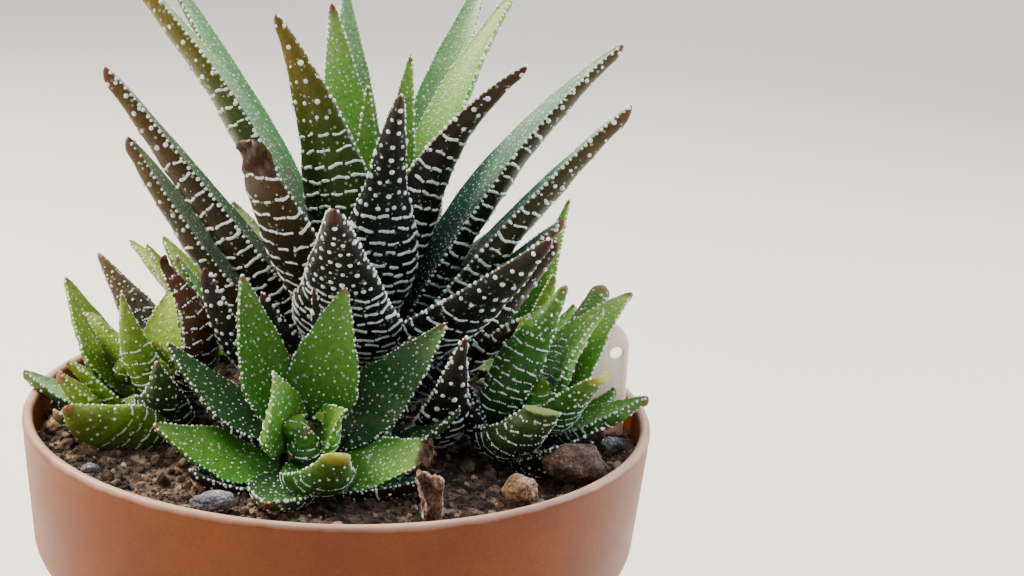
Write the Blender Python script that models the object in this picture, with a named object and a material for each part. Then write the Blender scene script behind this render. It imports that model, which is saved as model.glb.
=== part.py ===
import math

import bmesh
import bpy
from mathutils import Quaternion, Vector, noise

MM = 0.001
GAP = 0.35 * MM  # clearance left between pieces that touch

# Pot: a thin moulded 9 cm flower pot whose base stands on the world origin.
POT_HEIGHT = 80 * MM
RIM_RADIUS = 45 * MM
COLLAR_FOOT_RADIUS = 43.7 * MM  # lower end of the straight collar wall
COLLAR_HEIGHT = 17 * MM
COLLAR_ROUND = 5 * MM  # height of the large round under the collar
COLLAR_ROUND_SHARES = (0.03, 0.2, 0.5)  # where that round is sampled on its way up
BODY_TOP_RADIUS = 40.2 * MM
BASE_RADIUS = 30 * MM
BASE_EDGE = 1.2 * MM
WALL = 1.3 * MM
FLOOR = 1.8 * MM
RIM_EDGE = 0.4 * MM
POT_SIDES = 48
DRAIN_HOLES = 5
DRAIN_RADIUS = 3 * MM
DRAIN_RING_RADIUS = 19 * MM

# Soil: fills the pot and stands a little higher in the middle.
SOIL_EDGE_HEIGHT = 75 * MM
SOIL_CROWN = 1.2 * MM
SOIL_BUMP = 0.5 * MM
SOIL_LUMP_SIZE = 6 * MM
SOIL_RINGS = 6

# Leaf: a loft of crescent sections, thick on the outer face and hollow on the inner.
LEAF_STATIONS = 8
LAST_STATION = 0.94  # share of the length where the pointed end starts
OUTER_POINTS = 6
INNER_SHARES = (-0.5, 0, 0.5)  # places across the inner face, as shares of half the width
ROOT_WIDTH = 0.42  # width at the root, as a share of the full width
BELLY_PLACE = 0.36  # share of the length where the leaf is widest
TAPER_POWER = 1.25
ROOT_DEPTH = 0.5
DEPTH_FULL_PLACE = 0.3
TIP_THINNING = 0.72
THINNING_POWER = 1.6
INNER_SIDE = 0.3  # share of the thickness that lies on the inner side of the leaf's line
POINTED_END = 0.16  # width of a pointed leaf where its end starts, as a share
HOLLOW = 0.12  # depth of the inner hollow, as a share of the thickness

# Stem: rings from the soil up, each a share of the radius and of the height.
STEM_RINGS = ((0.9, 0), (1, 0.15), (0.9, 0.75), (0.5, 1))
STEM_SIDES = 10

# Stone: a ball roughened by noise, with a flat underside just above the soil.
STONE_ROUGHNESS = 0.18
STONE_GRAIN = 1.6
STONE_FLAT = 0.55  # how far the flat lies below the middle, as a share of the half height
STONE_LIFT = 1.2 * MM

# Label: a blank plastic tag with a round, pierced head, pushed into the soil.
LABEL_WIDTH = 9 * MM
LABEL_THICK = 0.8 * MM
LABEL_TOP = 93 * MM
LABEL_FOOT = 65 * MM
LABEL_HOLE_RADIUS = 0.9 * MM
LABEL_HOLE_PLACE = (2.6 * MM, -0.6 * MM)  # from the middle of the round head
LABEL_PLACE = (37.2 * MM, 6.5 * MM)
LABEL_TURN = 12  # degrees about Z

COLOURS = {
    "pot_plastic": (0.42, 0.17, 0.07, 0.45),
    "potting_soil": (0.07, 0.04, 0.03, 0.95),
    "dark_leaf": (0.03, 0.07, 0.03, 0.4),
    "green_leaf": (0.10, 0.26, 0.05, 0.4),
    "yellow_leaf": (0.24, 0.38, 0.06, 0.45),
    "stem_green": (0.20, 0.26, 0.10, 0.6),
    "brown_stone": (0.22, 0.14, 0.10, 0.8),
    "tan_stone": (0.45, 0.30, 0.18, 0.8),
    "grey_stone": (0.30, 0.29, 0.30, 0.7),
    "dry_bark": (0.42, 0.26, 0.17, 0.85),
    "label_plastic": (0.85, 0.85, 0.83, 0.35),
}

# Rosettes: centre x, y and ground height, stem radius and stem height, all in mm.
# A leaf is: facing of its outer side in degrees, tip x, y, z from the centre in mm,
# bow (how far it bulges to its inner side, in mm), roll about its length in degrees,
# width, thickness, and the height of its root on the stem. A blunt leaf has one number
# more: the width of its end, as a share of the full width.
ROSETTES = {
    "main": {
        "place": (2, 12, 77.5), "stem": (3.6, 18), "slot": "dark_leaf",
        "leaves": [
            (172, -38, 6, 62, 2, -25, 10.5, 4.4, 11),
            (130, -38.5, 38, 61, 1.5, -20, 9, 2.8, 11.5),
            (202, -37.5, -8, 49, 0, 8, 10, 4.4, 7.5),
            (192, -35, -5, 38.5, -1.5, 8, 9.5, 4.2, 3.5),
            (239, -15, -22.5, 38, -0.5, 0, 9, 2.6, 10.8, 0.4),
            (236, -14.5, -2, 57, 2.5, 0, 12, 3.2, 14.5),
            (112, -9, 20, 56.5, 1.5, 0, 10, 2.7, 14.5),
            (70, 4.5, 8, 51, -0.5, 0, 6.5, 2, 17.8),
            (286, 5, -17, 49, 2, 0, 10.5, 3.4, 11),
            (74, 15, 36, 62.5, 4, 0, 11, 3.2, 10.5),
            (52, 20, 26, 60.5, 4.5, 0, 9, 2.4, 14.5),
            (326, 22, -3, 52, 5, 0, 8.5, 3, 16),
            (8, 36, 5, 55, 3.5, 25, 9.5, 3.4, 10.2),
            (346, 37, -8, 48, 1.2, 8, 9.5, 3.6, 6.8),
            (350, 28.5, -9, 31, 0.5, 12, 8.5, 3, 2.8),
            (300, 24.2, -27.5, 29, -1.3, 0, 9.2, 2.9, 7),
            (330, 26, -18, 21, -1, 0, 7.5, 2.8, 1),
            (253, -1.5, -36, 37, 0.5, 0, 13, 3.4, 4),
            (222, -20, -24, 25, -5, 0, 8.5, 3, 2),
            (292, 16, -29.5, 19, -5, 0, 7, 2.6, 1.2),
        ],
    },
    "left_pup": {
        "place": (-28, -2, 76.5), "stem": (2, 7), "slot": "yellow_leaf",
        "leaves": [
            (160, -13.5, 6.5, 18.5, -0.5, 0, 7, 2, 3),
            (215, -8.5, -2.5, 16, 0.5, 15, 7.5, 1.8, 5),
            (208, -10, -6.5, 10, 0.5, 0, 6.5, 2, 1.4),
            (274, -3.3, -7, 19, -1, 0, 6.2, 1.8, 5.5),
            (104, -11.5, 17.5, 19.5, 0, 0, 6, 2, 2),
            (345, 1.5, -3, 24, -6, 0, 6, 2.6, 3.5),
            (60, 1.5, 9, 17, 1, 0, 7, 2, 4),
            (315, 4, -13, 13, -3, 0, 7.5, 2.4, 2),
            (176, -18, 0, 6, -1, 0, 6, 2.4, 0.8),
            (252, -9, -13.5, 6.8, -1.5, 15, 8.5, 2.2, 1.2),
        ],
    },
    "back_pup": {
        "place": (-19, 26, 76.5), "stem": None, "slot": "yellow_leaf",
        "leaves": [
            (160, -20, 8, 17, 0, 0, 7, 2, 3),
        ],
    },
    "front_pup": {
        "place": (-3, -19, 76.5), "stem": (2.2, 7), "slot": "green_leaf",
        "leaves": [
            (140, -9.5, 4, 26, -1, 0, 9, 2.2, 4.5),
            (72, 4.4, 4.5, 25, 0.5, 0, 9.5, 2, 5),
            (50, 18, 7, 20, -1, 10, 10, 2.2, 3),
            (198, -19.5, -4, 7, -1, -25, 9.5, 2, 1.2),
            (342, 17, -7, 7, -1, 25, 9.5, 2, 1.2, 0.45),
            (225, -4, -4.5, 15.5, 0.5, 0, 7, 2, 6),
            (312, 6, -5, 11, 0.5, 0, 6.5, 2, 5),
            (286, 6, -14, 8.5, -2.5, 0, 9.5, 2.4, 3, 0.5),
            (258, -4, -17, 3, -1, 0, 9, 2.2, 0.8),
            (162, -20, 6.5, 15, -1, -5, 7.5, 2, 3.6),
        ],
    },
    "right_pup": {
        "place": (27, -4, 76.5), "stem": (2.2, 7), "slot": "green_leaf",
        "leaves": [
            (222, 4.5, 1, 24, -1, 0, 7, 2.4, 5),
            (348, 10, 3, 20, 1.5, 15, 7, 1.8, 5.5),
            (56, 14.5, 12, 20.5, 3, 0, 8, 2.2, 3),
            (322, 10, -8, 14, 1, 0, 8, 2.4, 3.5, 0.4),
            (354, 17, -1.5, 9, 0, 0, 7, 2.4, 2),
            (312, 10.5, -9, 5.5, -1, 0, 7.5, 2.2, 0.6),
            (255, -2, -13, 11, -3, 0, 9.5, 2.8, 2, 0.6),
        ],
    },
    "far_pup": {
        "place": (24, 25, 76.5), "stem": None, "slot": "green_leaf",
        "leaves": [
            (60, 8, 6, 29, 0, 0, 5, 2.2, 1),
        ],
    },
}

# Loose pieces on the soil: place x, y and half sizes in mm, turn in degrees, slot.
STONES = {
    "rock_right": (34, -16.4, 4.2, 3.4, 3.2, 20, "brown_stone"),
    "stone_front_right": (26.3, -24.2, 2.2, 1.9, 1.8, 10, "tan_stone"),
    "stone_front_left": (-13, -33, 2.6, 1.4, 1.2, 15, "grey_stone"),
    "bark_chip": (14.5, -31.5, 1.9, 0.9, 3.2, 30, "dry_bark"),
}


def material(slot):
    found = bpy.data.materials.get(slot)
    if found:
        return found
    red, green, blue, roughness = COLOURS[slot]
    made = bpy.data.materials.new(slot)
    made.use_nodes = True
    shader = made.node_tree.nodes["Principled BSDF"]
    shader.inputs["Base Color"].default_value = (red, green, blue, 1)
    shader.inputs["Roughness"].default_value = roughness
    return made


def add_object(name, mesh, slot):
    made = bpy.data.objects.new(name, mesh)
    bpy.context.scene.collection.objects.link(made)
    mesh.materials.append(material(slot))
    return made


def mesh_from_rings(name, rings, first_point=None, last_point=None):
    """A closed mesh through rings of equal length; each end is a point or a flat cap."""
    shape = bmesh.new()
    loops = [[shape.verts.new(point) for point in ring] for ring in rings]
    count = len(rings[0])
    for lower, upper in zip(loops, loops[1:]):
        for i in range(count):
            j = (i + 1) % count
            shape.faces.new((lower[i], lower[j], upper[j], upper[i]))
    for loop, point in ((loops[0], first_point), (loops[-1], last_point)):
        if point is None:
            shape.faces.new(loop)
            continue
        apex = shape.verts.new(point)
        for i in range(count):
            shape.faces.new((loop[i], loop[(i + 1) % count], apex))
    bmesh.ops.recalc_face_normals(shape, faces=shape.faces)
    mesh = bpy.data.meshes.new(name)
    shape.to_mesh(mesh)
    shape.free()
    mesh.shade_smooth()
    mesh.set_sharp_from_angle(angle=math.radians(50))
    return mesh


def circle(radius, height, sides=POT_SIDES, centre=(0, 0)):
    step = 2 * math.pi / sides
    return [
        Vector((
            centre[0] + radius * math.cos(i * step),
            centre[1] + radius * math.sin(i * step),
            height,
        ))
        for i in range(sides)
    ]


def wall_radius(height):
    """Outer radius of the pot's body and collar at a height."""
    collar_foot = POT_HEIGHT - COLLAR_HEIGHT
    step_foot = collar_foot - COLLAR_ROUND
    if height >= collar_foot:
        share = (height - collar_foot) / COLLAR_HEIGHT
        return COLLAR_FOOT_RADIUS + share * (RIM_RADIUS - COLLAR_FOOT_RADIUS)
    if height >= step_foot:
        share = (collar_foot - height) / COLLAR_ROUND
        round_in = COLLAR_FOOT_RADIUS - BODY_TOP_RADIUS
        return COLLAR_FOOT_RADIUS - round_in * (1 - math.sqrt(1 - share * share))
    return BASE_RADIUS + (BODY_TOP_RADIUS - BASE_RADIUS) * height / step_foot


def wall_heights():
    collar_foot = POT_HEIGHT - COLLAR_HEIGHT
    step_foot = collar_foot - COLLAR_ROUND
    turns = [step_foot + COLLAR_ROUND * share for share in COLLAR_ROUND_SHARES]
    return [step_foot] + turns + [collar_foot]


def pot():
    top_inner = RIM_RADIUS - WALL
    rings = [circle(BASE_RADIUS - BASE_EDGE, 0)]
    rings.append(circle(wall_radius(BASE_EDGE), BASE_EDGE))
    rings += [circle(wall_radius(z), z) for z in wall_heights()]
    rings.append(circle(RIM_RADIUS, POT_HEIGHT - RIM_EDGE))
    rings.append(circle(RIM_RADIUS - RIM_EDGE, POT_HEIGHT))
    rings.append(circle(top_inner + RIM_EDGE, POT_HEIGHT))
    rings.append(circle(top_inner, POT_HEIGHT - RIM_EDGE))
    rings += [circle(wall_radius(z) - WALL, z) for z in reversed(wall_heights())]
    rings.append(circle(wall_radius(FLOOR) - WALL, FLOOR))
    body = add_object("pot", mesh_from_rings("pot", rings), "pot_plastic")
    for i in range(DRAIN_HOLES):
        angle = 2 * math.pi * i / DRAIN_HOLES
        centre = (DRAIN_RING_RADIUS * math.cos(angle), DRAIN_RING_RADIUS * math.sin(angle))
        ends = [circle(DRAIN_RADIUS, z, 12, centre) for z in (-FLOOR, 2 * FLOOR)]
        cut(body, mesh_from_rings(f"drain_cutter_{i}", ends))


def cut(body, cutter_mesh):
    cutter = bpy.data.objects.new(cutter_mesh.name, cutter_mesh)
    bpy.context.scene.collection.objects.link(cutter)
    cutter.hide_render = True
    cutter.display_type = "WIRE"
    boolean = body.modifiers.new(cutter.name, "BOOLEAN")
    boolean.operation = "DIFFERENCE"
    boolean.object = cutter


def soil_height(x, y):
    share = min(1, math.hypot(x, y) / RIM_RADIUS)
    bump = noise.noise(Vector((x, y, 0)) / SOIL_LUMP_SIZE)
    return SOIL_EDGE_HEIGHT + SOIL_CROWN * (1 - share * share) + SOIL_BUMP * bump


def soil():
    bottom = FLOOR + GAP
    rings = [circle(wall_radius(bottom) - WALL - GAP, bottom)]
    rings += [circle(wall_radius(z) - WALL - GAP, z) for z in wall_heights()]
    edge = wall_radius(SOIL_EDGE_HEIGHT) - WALL - GAP
    for i in range(SOIL_RINGS):
        ring = circle(edge * (1 - i / SOIL_RINGS), 0)
        for point in ring:
            point.z = soil_height(point.x, point.y)
        rings.append(ring)
    middle = Vector((0, 0, soil_height(0, 0)))
    body = add_object("soil", mesh_from_rings("soil", rings, None, middle), "potting_soil")
    cut(body, label_plate("label_cutter", GAP))


def leaf_mesh(name, root, tip, facing, bow, roll, width, thick, end_share):
    """The loft of one leaf between its root and its tip, along a bowed line."""
    side = Vector((-math.sin(facing), math.cos(facing), 0))
    chord = (tip - root).normalized()
    control = (root + tip) / 2 - 2 * bow * side.cross(chord).normalized()
    rings = []
    for station in range(LEAF_STATIONS):
        t = LAST_STATION * station / (LEAF_STATIONS - 1)
        centre = (1 - t) ** 2 * root + 2 * t * (1 - t) * control + t * t * tip
        along = ((1 - t) * (control - root) + t * (tip - control)).normalized()
        broad = (side - along * side.dot(along)).normalized()
        broad.rotate(Quaternion(along, roll))
        half, depth = leaf_half_width(t, end_share) * width / 2, leaf_depth(t) * thick
        rings.append(leaf_section(centre, broad, broad.cross(along), half, depth))
    return mesh_from_rings(name, rings, None, tip)


def leaf_half_width(t, end_share):
    """Share of the full width at a share of the length: narrow root, belly, long point."""
    swell = ROOT_WIDTH + (1 - ROOT_WIDTH) * math.sin(min(t / BELLY_PLACE, 1) * math.pi / 2)
    past_belly = max(0, (t - BELLY_PLACE) / (LAST_STATION - BELLY_PLACE))
    return swell * (1 - (1 - end_share) * past_belly ** TAPER_POWER)


def leaf_depth(t):
    """Share of the full thickness at a share of the length."""
    swell = ROOT_DEPTH + (1 - ROOT_DEPTH) * math.sin(min(t / DEPTH_FULL_PLACE, 1) * math.pi / 2)
    return swell * (1 - TIP_THINNING * t ** THINNING_POWER)


def leaf_section(centre, broad, outer, half, depth):
    """A crescent: a round outer side from margin to margin, then the hollow inner face."""
    points = []
    for i in range(OUTER_POINTS):
        angle = math.pi * i / (OUTER_POINTS - 1)
        out = depth * (math.sin(angle) - INNER_SIDE)
        points.append(centre + half * math.cos(angle) * broad + out * outer)
    for share in INNER_SHARES:
        out = depth * (HOLLOW * (1 - share * share) - INNER_SIDE)
        points.append(centre + half * share * broad + out * outer)
    return points


def rosette(name, plan):
    centre = Vector(plan["place"]) * MM
    stem_radius = 0
    if plan["stem"]:
        stem_radius, stem_height = plan["stem"][0] * MM, plan["stem"][1] * MM
        rings = [
            circle(stem_radius * share, centre.z + stem_height * height, STEM_SIDES, centre)
            for share, height in STEM_RINGS
        ]
        add_object(f"{name}_stem", mesh_from_rings(f"{name}_stem", rings), "stem_green")
    for number, entry in enumerate(plan["leaves"], 1):
        facing, tip_x, tip_y, tip_z, bow, roll, width, thick, root_height = entry[:9]
        end_share = entry[9] if len(entry) > 9 else POINTED_END
        facing, roll = math.radians(facing), math.radians(roll)
        outward = Vector((math.cos(facing), math.sin(facing), 0))
        root = centre + outward * (stem_radius + GAP + INNER_SIDE * thick * MM)
        root.z += root_height * MM
        tip = centre + Vector((tip_x, tip_y, tip_z)) * MM
        leaf = f"{name}_leaf_{number:02d}"
        mesh = leaf_mesh(
            leaf, root, tip, facing, bow * MM, roll, width * MM, thick * MM, end_share
        )
        add_object(leaf, mesh, plan["slot"])


def stone(name, x, y, half_x, half_y, half_z, turn, slot):
    shape = bmesh.new()
    bmesh.ops.create_icosphere(shape, subdivisions=2, radius=1)
    place = Vector((x * MM, y * MM, 0))
    place.z = soil_height(place.x, place.y) + STONE_FLAT * half_z * MM + STONE_LIFT
    turn = math.radians(turn)
    for vert in shape.verts:
        rough = 1 + STONE_ROUGHNESS * noise.noise(vert.co * STONE_GRAIN + Vector((x, y, 0)))
        out_x, out_y = vert.co.x * rough * half_x, vert.co.y * rough * half_y
        vert.co = place + MM * Vector((
            out_x * math.cos(turn) - out_y * math.sin(turn),
            out_x * math.sin(turn) + out_y * math.cos(turn),
            max(vert.co.z, -STONE_FLAT) * half_z,
        ))
    mesh = bpy.data.meshes.new(name)
    shape.to_mesh(mesh)
    shape.free()
    mesh.shade_smooth()
    add_object(name, mesh, slot)


def label_plate(name, extra=0):
    """The flat label as a mesh; extra widens it on every side for the slot in the soil."""
    half = LABEL_WIDTH / 2 + extra
    bend = LABEL_WIDTH / 2
    outline = [Vector((0, LABEL_FOOT - extra)), Vector((half, LABEL_FOOT + bend))]
    outline += [
        Vector((half * math.cos(a), LABEL_TOP - bend + half * math.sin(a)))
        for a in (math.radians(angle) for angle in range(0, 181, 20))
    ]
    outline.append(Vector((-half, LABEL_FOOT + bend)))
    turn = math.radians(LABEL_TURN)
    rings = []
    for depth in (-LABEL_THICK / 2 - extra, LABEL_THICK / 2 + extra):
        rings.append([
            Vector((
                LABEL_PLACE[0] + p.x * math.cos(turn) - depth * math.sin(turn),
                LABEL_PLACE[1] + p.x * math.sin(turn) + depth * math.cos(turn),
                p.y,
            ))
            for p in outline
        ])
    return mesh_from_rings(name, rings)


def plant_label():
    body = add_object("plant_label", label_plate("plant_label"), "label_plastic")
    turn = math.radians(LABEL_TURN)
    across = Vector((math.cos(turn), math.sin(turn), 0))
    through = Vector((-math.sin(turn), math.cos(turn), 0))
    centre = Vector((*LABEL_PLACE, LABEL_TOP - LABEL_WIDTH / 2 + LABEL_HOLE_PLACE[1]))
    centre += across * LABEL_HOLE_PLACE[0]
    rings = []
    for depth in (-2 * LABEL_THICK, 2 * LABEL_THICK):
        rings.append([
            centre + through * depth + LABEL_HOLE_RADIUS * (
                across * math.cos(i * math.pi / 6) + Vector((0, 0, math.sin(i * math.pi / 6)))
            )
            for i in range(12)
        ])
    cut(body, mesh_from_rings("label_hole_cutter", rings))


for startup_object in list(bpy.data.objects):
    bpy.data.objects.remove(startup_object)
pot()
soil()
plant_label()
for rosette_name, rosette_plan in ROSETTES.items():
    rosette(rosette_name, rosette_plan)
for stone_name, stone_plan in STONES.items():
    stone(stone_name, *stone_plan)
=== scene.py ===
import math

import bmesh
import bpy
import numpy as np
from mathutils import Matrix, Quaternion, Vector, noise


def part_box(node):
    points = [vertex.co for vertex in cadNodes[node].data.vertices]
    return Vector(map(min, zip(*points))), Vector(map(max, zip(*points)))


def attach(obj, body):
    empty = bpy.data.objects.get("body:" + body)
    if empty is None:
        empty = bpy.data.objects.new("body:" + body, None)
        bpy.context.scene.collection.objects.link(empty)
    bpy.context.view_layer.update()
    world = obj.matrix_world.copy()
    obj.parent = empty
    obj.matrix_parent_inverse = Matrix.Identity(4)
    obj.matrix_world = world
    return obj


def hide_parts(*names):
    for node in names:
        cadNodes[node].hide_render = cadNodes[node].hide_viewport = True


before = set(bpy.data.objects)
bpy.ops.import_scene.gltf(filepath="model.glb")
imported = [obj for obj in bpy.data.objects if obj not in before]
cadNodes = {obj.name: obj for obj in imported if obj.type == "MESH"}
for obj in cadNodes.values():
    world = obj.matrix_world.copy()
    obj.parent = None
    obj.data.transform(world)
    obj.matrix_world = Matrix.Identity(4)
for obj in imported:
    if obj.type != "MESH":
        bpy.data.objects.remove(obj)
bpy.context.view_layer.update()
scene = bpy.context.scene
mm = 0.001
print("frame loaded:", len(cadNodes), "nodes")

rimRadius, _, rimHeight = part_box("pot")[1]
soilFoot, soilTop = [corner.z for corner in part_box("soil")]


def hexColour(code):
    # sRGB hex to the linear values that sockets hold
    parts = [int(code[i:i + 2], 16) / 255 for i in (1, 3, 5)]
    return [c / 12.92 if c < 0.04045 else ((c + 0.055) / 1.055) ** 2.4 for c in parts] + [1]


def socketOf(sockets, name):
    # Mix nodes repeat their socket names, so an identifier is tried first
    for socket in sockets:
        if socket.identifier == name:
            return socket
    return sockets[name]


def addNode(tree, kind, inputs=None, **settings):
    node = tree.nodes.new(kind)
    for name, value in settings.items():
        setattr(node, name, value)
    for name, value in (inputs or {}).items():
        socket = node.inputs[name] if isinstance(name, int) else socketOf(node.inputs, name)
        if isinstance(value, bpy.types.NodeSocket):
            tree.links.new(value, socket)
        else:
            socket.default_value = value
    return node


def newMaterial(name, settings):
    # the material, its tree, its shader and the Object coordinates
    made = bpy.data.materials.new(name)
    made.use_nodes = True
    tree = made.node_tree
    shader = tree.nodes["Principled BSDF"]
    for socket, value in settings.items():
        shader.inputs[socket].default_value = value
    return made, tree, shader, addNode(tree, "ShaderNodeTexCoord").outputs["Object"]


def mixColours(tree, factor, first, second, blend="MIX"):
    first, second = [hexColour(c) if isinstance(c, str) else c for c in (first, second)]
    mixed = addNode(tree, "ShaderNodeMix", {"Factor_Float": factor, "A_Color": first, "B_Color": second},
                    data_type="RGBA", blend_type=blend)
    return socketOf(mixed.outputs, "Result_Color")


def maths(tree, operation, *values):
    return addNode(tree, "ShaderNodeMath", dict(enumerate(values)), operation=operation).outputs[0]


def remapped(tree, value, low, high, toLow=0, toHigh=1):
    return addNode(tree, "ShaderNodeMapRange", {
        "Value": value, "From Min": low, "From Max": high, "To Min": toLow, "To Max": toHigh}).outputs[0]


def noiseOf(tree, place, scale, detail, roughness=0.5):
    # in Object coordinates a patch is about 1000 / scale mm wide
    return addNode(tree, "ShaderNodeTexNoise", {
        "Vector": place, "Scale": scale, "Detail": detail, "Roughness": roughness}).outputs["Fac"]


def cellsOf(tree, place, scale):
    return addNode(tree, "ShaderNodeTexVoronoi", {"Vector": place, "Scale": scale}).outputs


def rampOf(tree, factor, places, hexes):
    ramp = addNode(tree, "ShaderNodeValToRGB", {"Fac": factor})
    ramp.color_ramp.elements[0].position = places[0]
    ramp.color_ramp.elements[1].position = places[-1]
    for place in places[1:-1]:
        ramp.color_ramp.elements.new(place)
    for element, code in zip(ramp.color_ramp.elements, hexes):
        element.color = hexColour(code)
    return ramp.outputs["Color"]


def dress(tree, shader, colour, height=None, strength=0, depth=0):
    # colour on the shader, and relief of the given depth in mm
    tree.links.new(colour, shader.inputs["Base Color"])
    if height is not None:
        bump = addNode(tree, "ShaderNodeBump", {
            "Strength": strength, "Distance": depth * mm, "Height": height})
        tree.links.new(bump.outputs[0], shader.inputs["Normal"])


def newObject(name, data):
    made = bpy.data.objects.new(name, data)
    scene.collection.objects.link(made)
    return made


def meshPiece(name, points, faces, material):
    mesh = bpy.data.meshes.new(name)
    mesh.from_pydata([tuple(p) for p in points], [], [tuple(f) for f in faces])
    mesh.materials.append(material)
    mesh.shade_smooth()
    return newObject(name, mesh)


def finalMesh(source):
    # the object's mesh with its modifiers applied
    bpy.context.view_layer.update()
    return bpy.data.meshes.new_from_object(source.evaluated_get(bpy.context.evaluated_depsgraph_get()))


def finishPiece(piece, replaced=()):
    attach(piece, "root")
    if replaced:
        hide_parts(*replaced)
    return piece


def ringPoints(radius, height, sides):
    turns = [2 * math.pi * i / sides for i in range(sides)]
    return [(radius * math.cos(a), radius * math.sin(a), height) for a in turns]


def faceOutward(piece):
    mesh = piece.data
    mesh.calc_loop_triangles()
    corners = np.empty(len(mesh.loop_triangles) * 3, np.int32)
    mesh.loop_triangles.foreach_get("vertices", corners)
    points = np.empty(len(mesh.vertices) * 3)
    mesh.vertices.foreach_get("co", points)
    a, b, c = points.reshape(-1, 3)[corners.reshape(-1, 3)].transpose(1, 0, 2)
    if (a * np.cross(b, c)).sum() < 0:
        mesh.flip_normals()
    return piece


# ---- camera, floor and light
view = {
    "lens": 60,
    "place": (0.0237, -0.2351, rimHeight + 0.0844),
    "pitch": 15.6,  # degrees below level
    "roll": 3.5,
    "clipStart": 0.01,
}


def placeCamera():
    camera = newObject("camera", bpy.data.cameras.new("camera"))
    camera.data.lens = view["lens"]
    camera.data.clip_start = view["clipStart"]
    camera.location = view["place"]
    tilt = Quaternion((1, 0, 0), math.radians(90 - view["pitch"]))
    camera.rotation_mode = "QUATERNION"
    camera.rotation_quaternion = tilt @ Quaternion((0, 0, 1), math.radians(view["roll"]))
    scene.camera = camera


studio = {
    "floorRadius": 6,
    "floorSides": 96,
    "floorColour": "#E9E7E2",
    "skyColour": "#EEF0F2",
    "skyStrength": 0.52,
    # name: place, aim, width in m, watts, colour
    "lamps": {
        "windowLight": ((-0.45, 0.30, 0.62), (0, 0, 0.09), 0.30, 14, "#FFEFD2"),
        "leftFill": ((-0.80, -0.16, 0.36), (0, 0, 0.08), 0.60, 6, "#FFEFD8"),
        "rightGlow": ((0.62, 0.22, 0.35), (0, 0, 0.08), 0.40, 7, "#E9F3FF"),
        "topSoft": ((0.05, -0.06, 0.85), (0, 0, 0.08), 0.55, 3.2, "#F4F8FF"),
        "farWash": ((0.3, 2.1, 1.5), (0.3, 1.9, 0), 1.60, 30, "#FFFDF8"),
    },
}


def buildStudio():
    paint = newMaterial("paintedFloor", {"Base Color": hexColour(studio["floorColour"]), "Roughness": 0.7})[0]
    sides = studio["floorSides"]
    floor = meshPiece("floor", ringPoints(studio["floorRadius"], 0, sides), [range(sides)], paint)
    world = bpy.data.worlds.new("studio")
    world.use_nodes = True
    background = world.node_tree.nodes["Background"]
    background.inputs["Color"].default_value = hexColour(studio["skyColour"])
    background.inputs["Strength"].default_value = studio["skyStrength"]
    scene.world = world
    for name, (place, aim, width, watts, colour) in studio["lamps"].items():
        lamp = newObject(name, bpy.data.lights.new(name, "AREA"))
        lamp.data.shape = "DISK"
        lamp.data.size = width
        lamp.data.energy = watts
        lamp.data.color = hexColour(colour)[:3]
        lamp.location = place
        lamp.rotation_mode = "QUATERNION"
        lamp.rotation_quaternion = (Vector(aim) - Vector(place)).to_track_quat("-Z", "Y")


placeCamera()
buildStudio()
print("camera and studio ready")


# ---- leaf skins
# power and round shape the end; dry is the share of the length where dead tissue starts,
# and fade how gradually it does
tips = {
    "keen": {"power": 1.7, "round": 0.8, "dry": 0.985, "fade": 0.05},
    "dry": {"power": 2.0, "round": 0.75, "dry": 0.968, "fade": 0.05},
    "cut": {"power": 9, "round": 0.35, "dry": 0.972, "fade": 0.01},
    "blunt": {"power": 4, "round": 0.5, "dry": 0.93, "fade": 0.06},
    "curled": {"power": 5, "round": 0.5, "dry": 0.9, "fade": 0.03},
}

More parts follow.
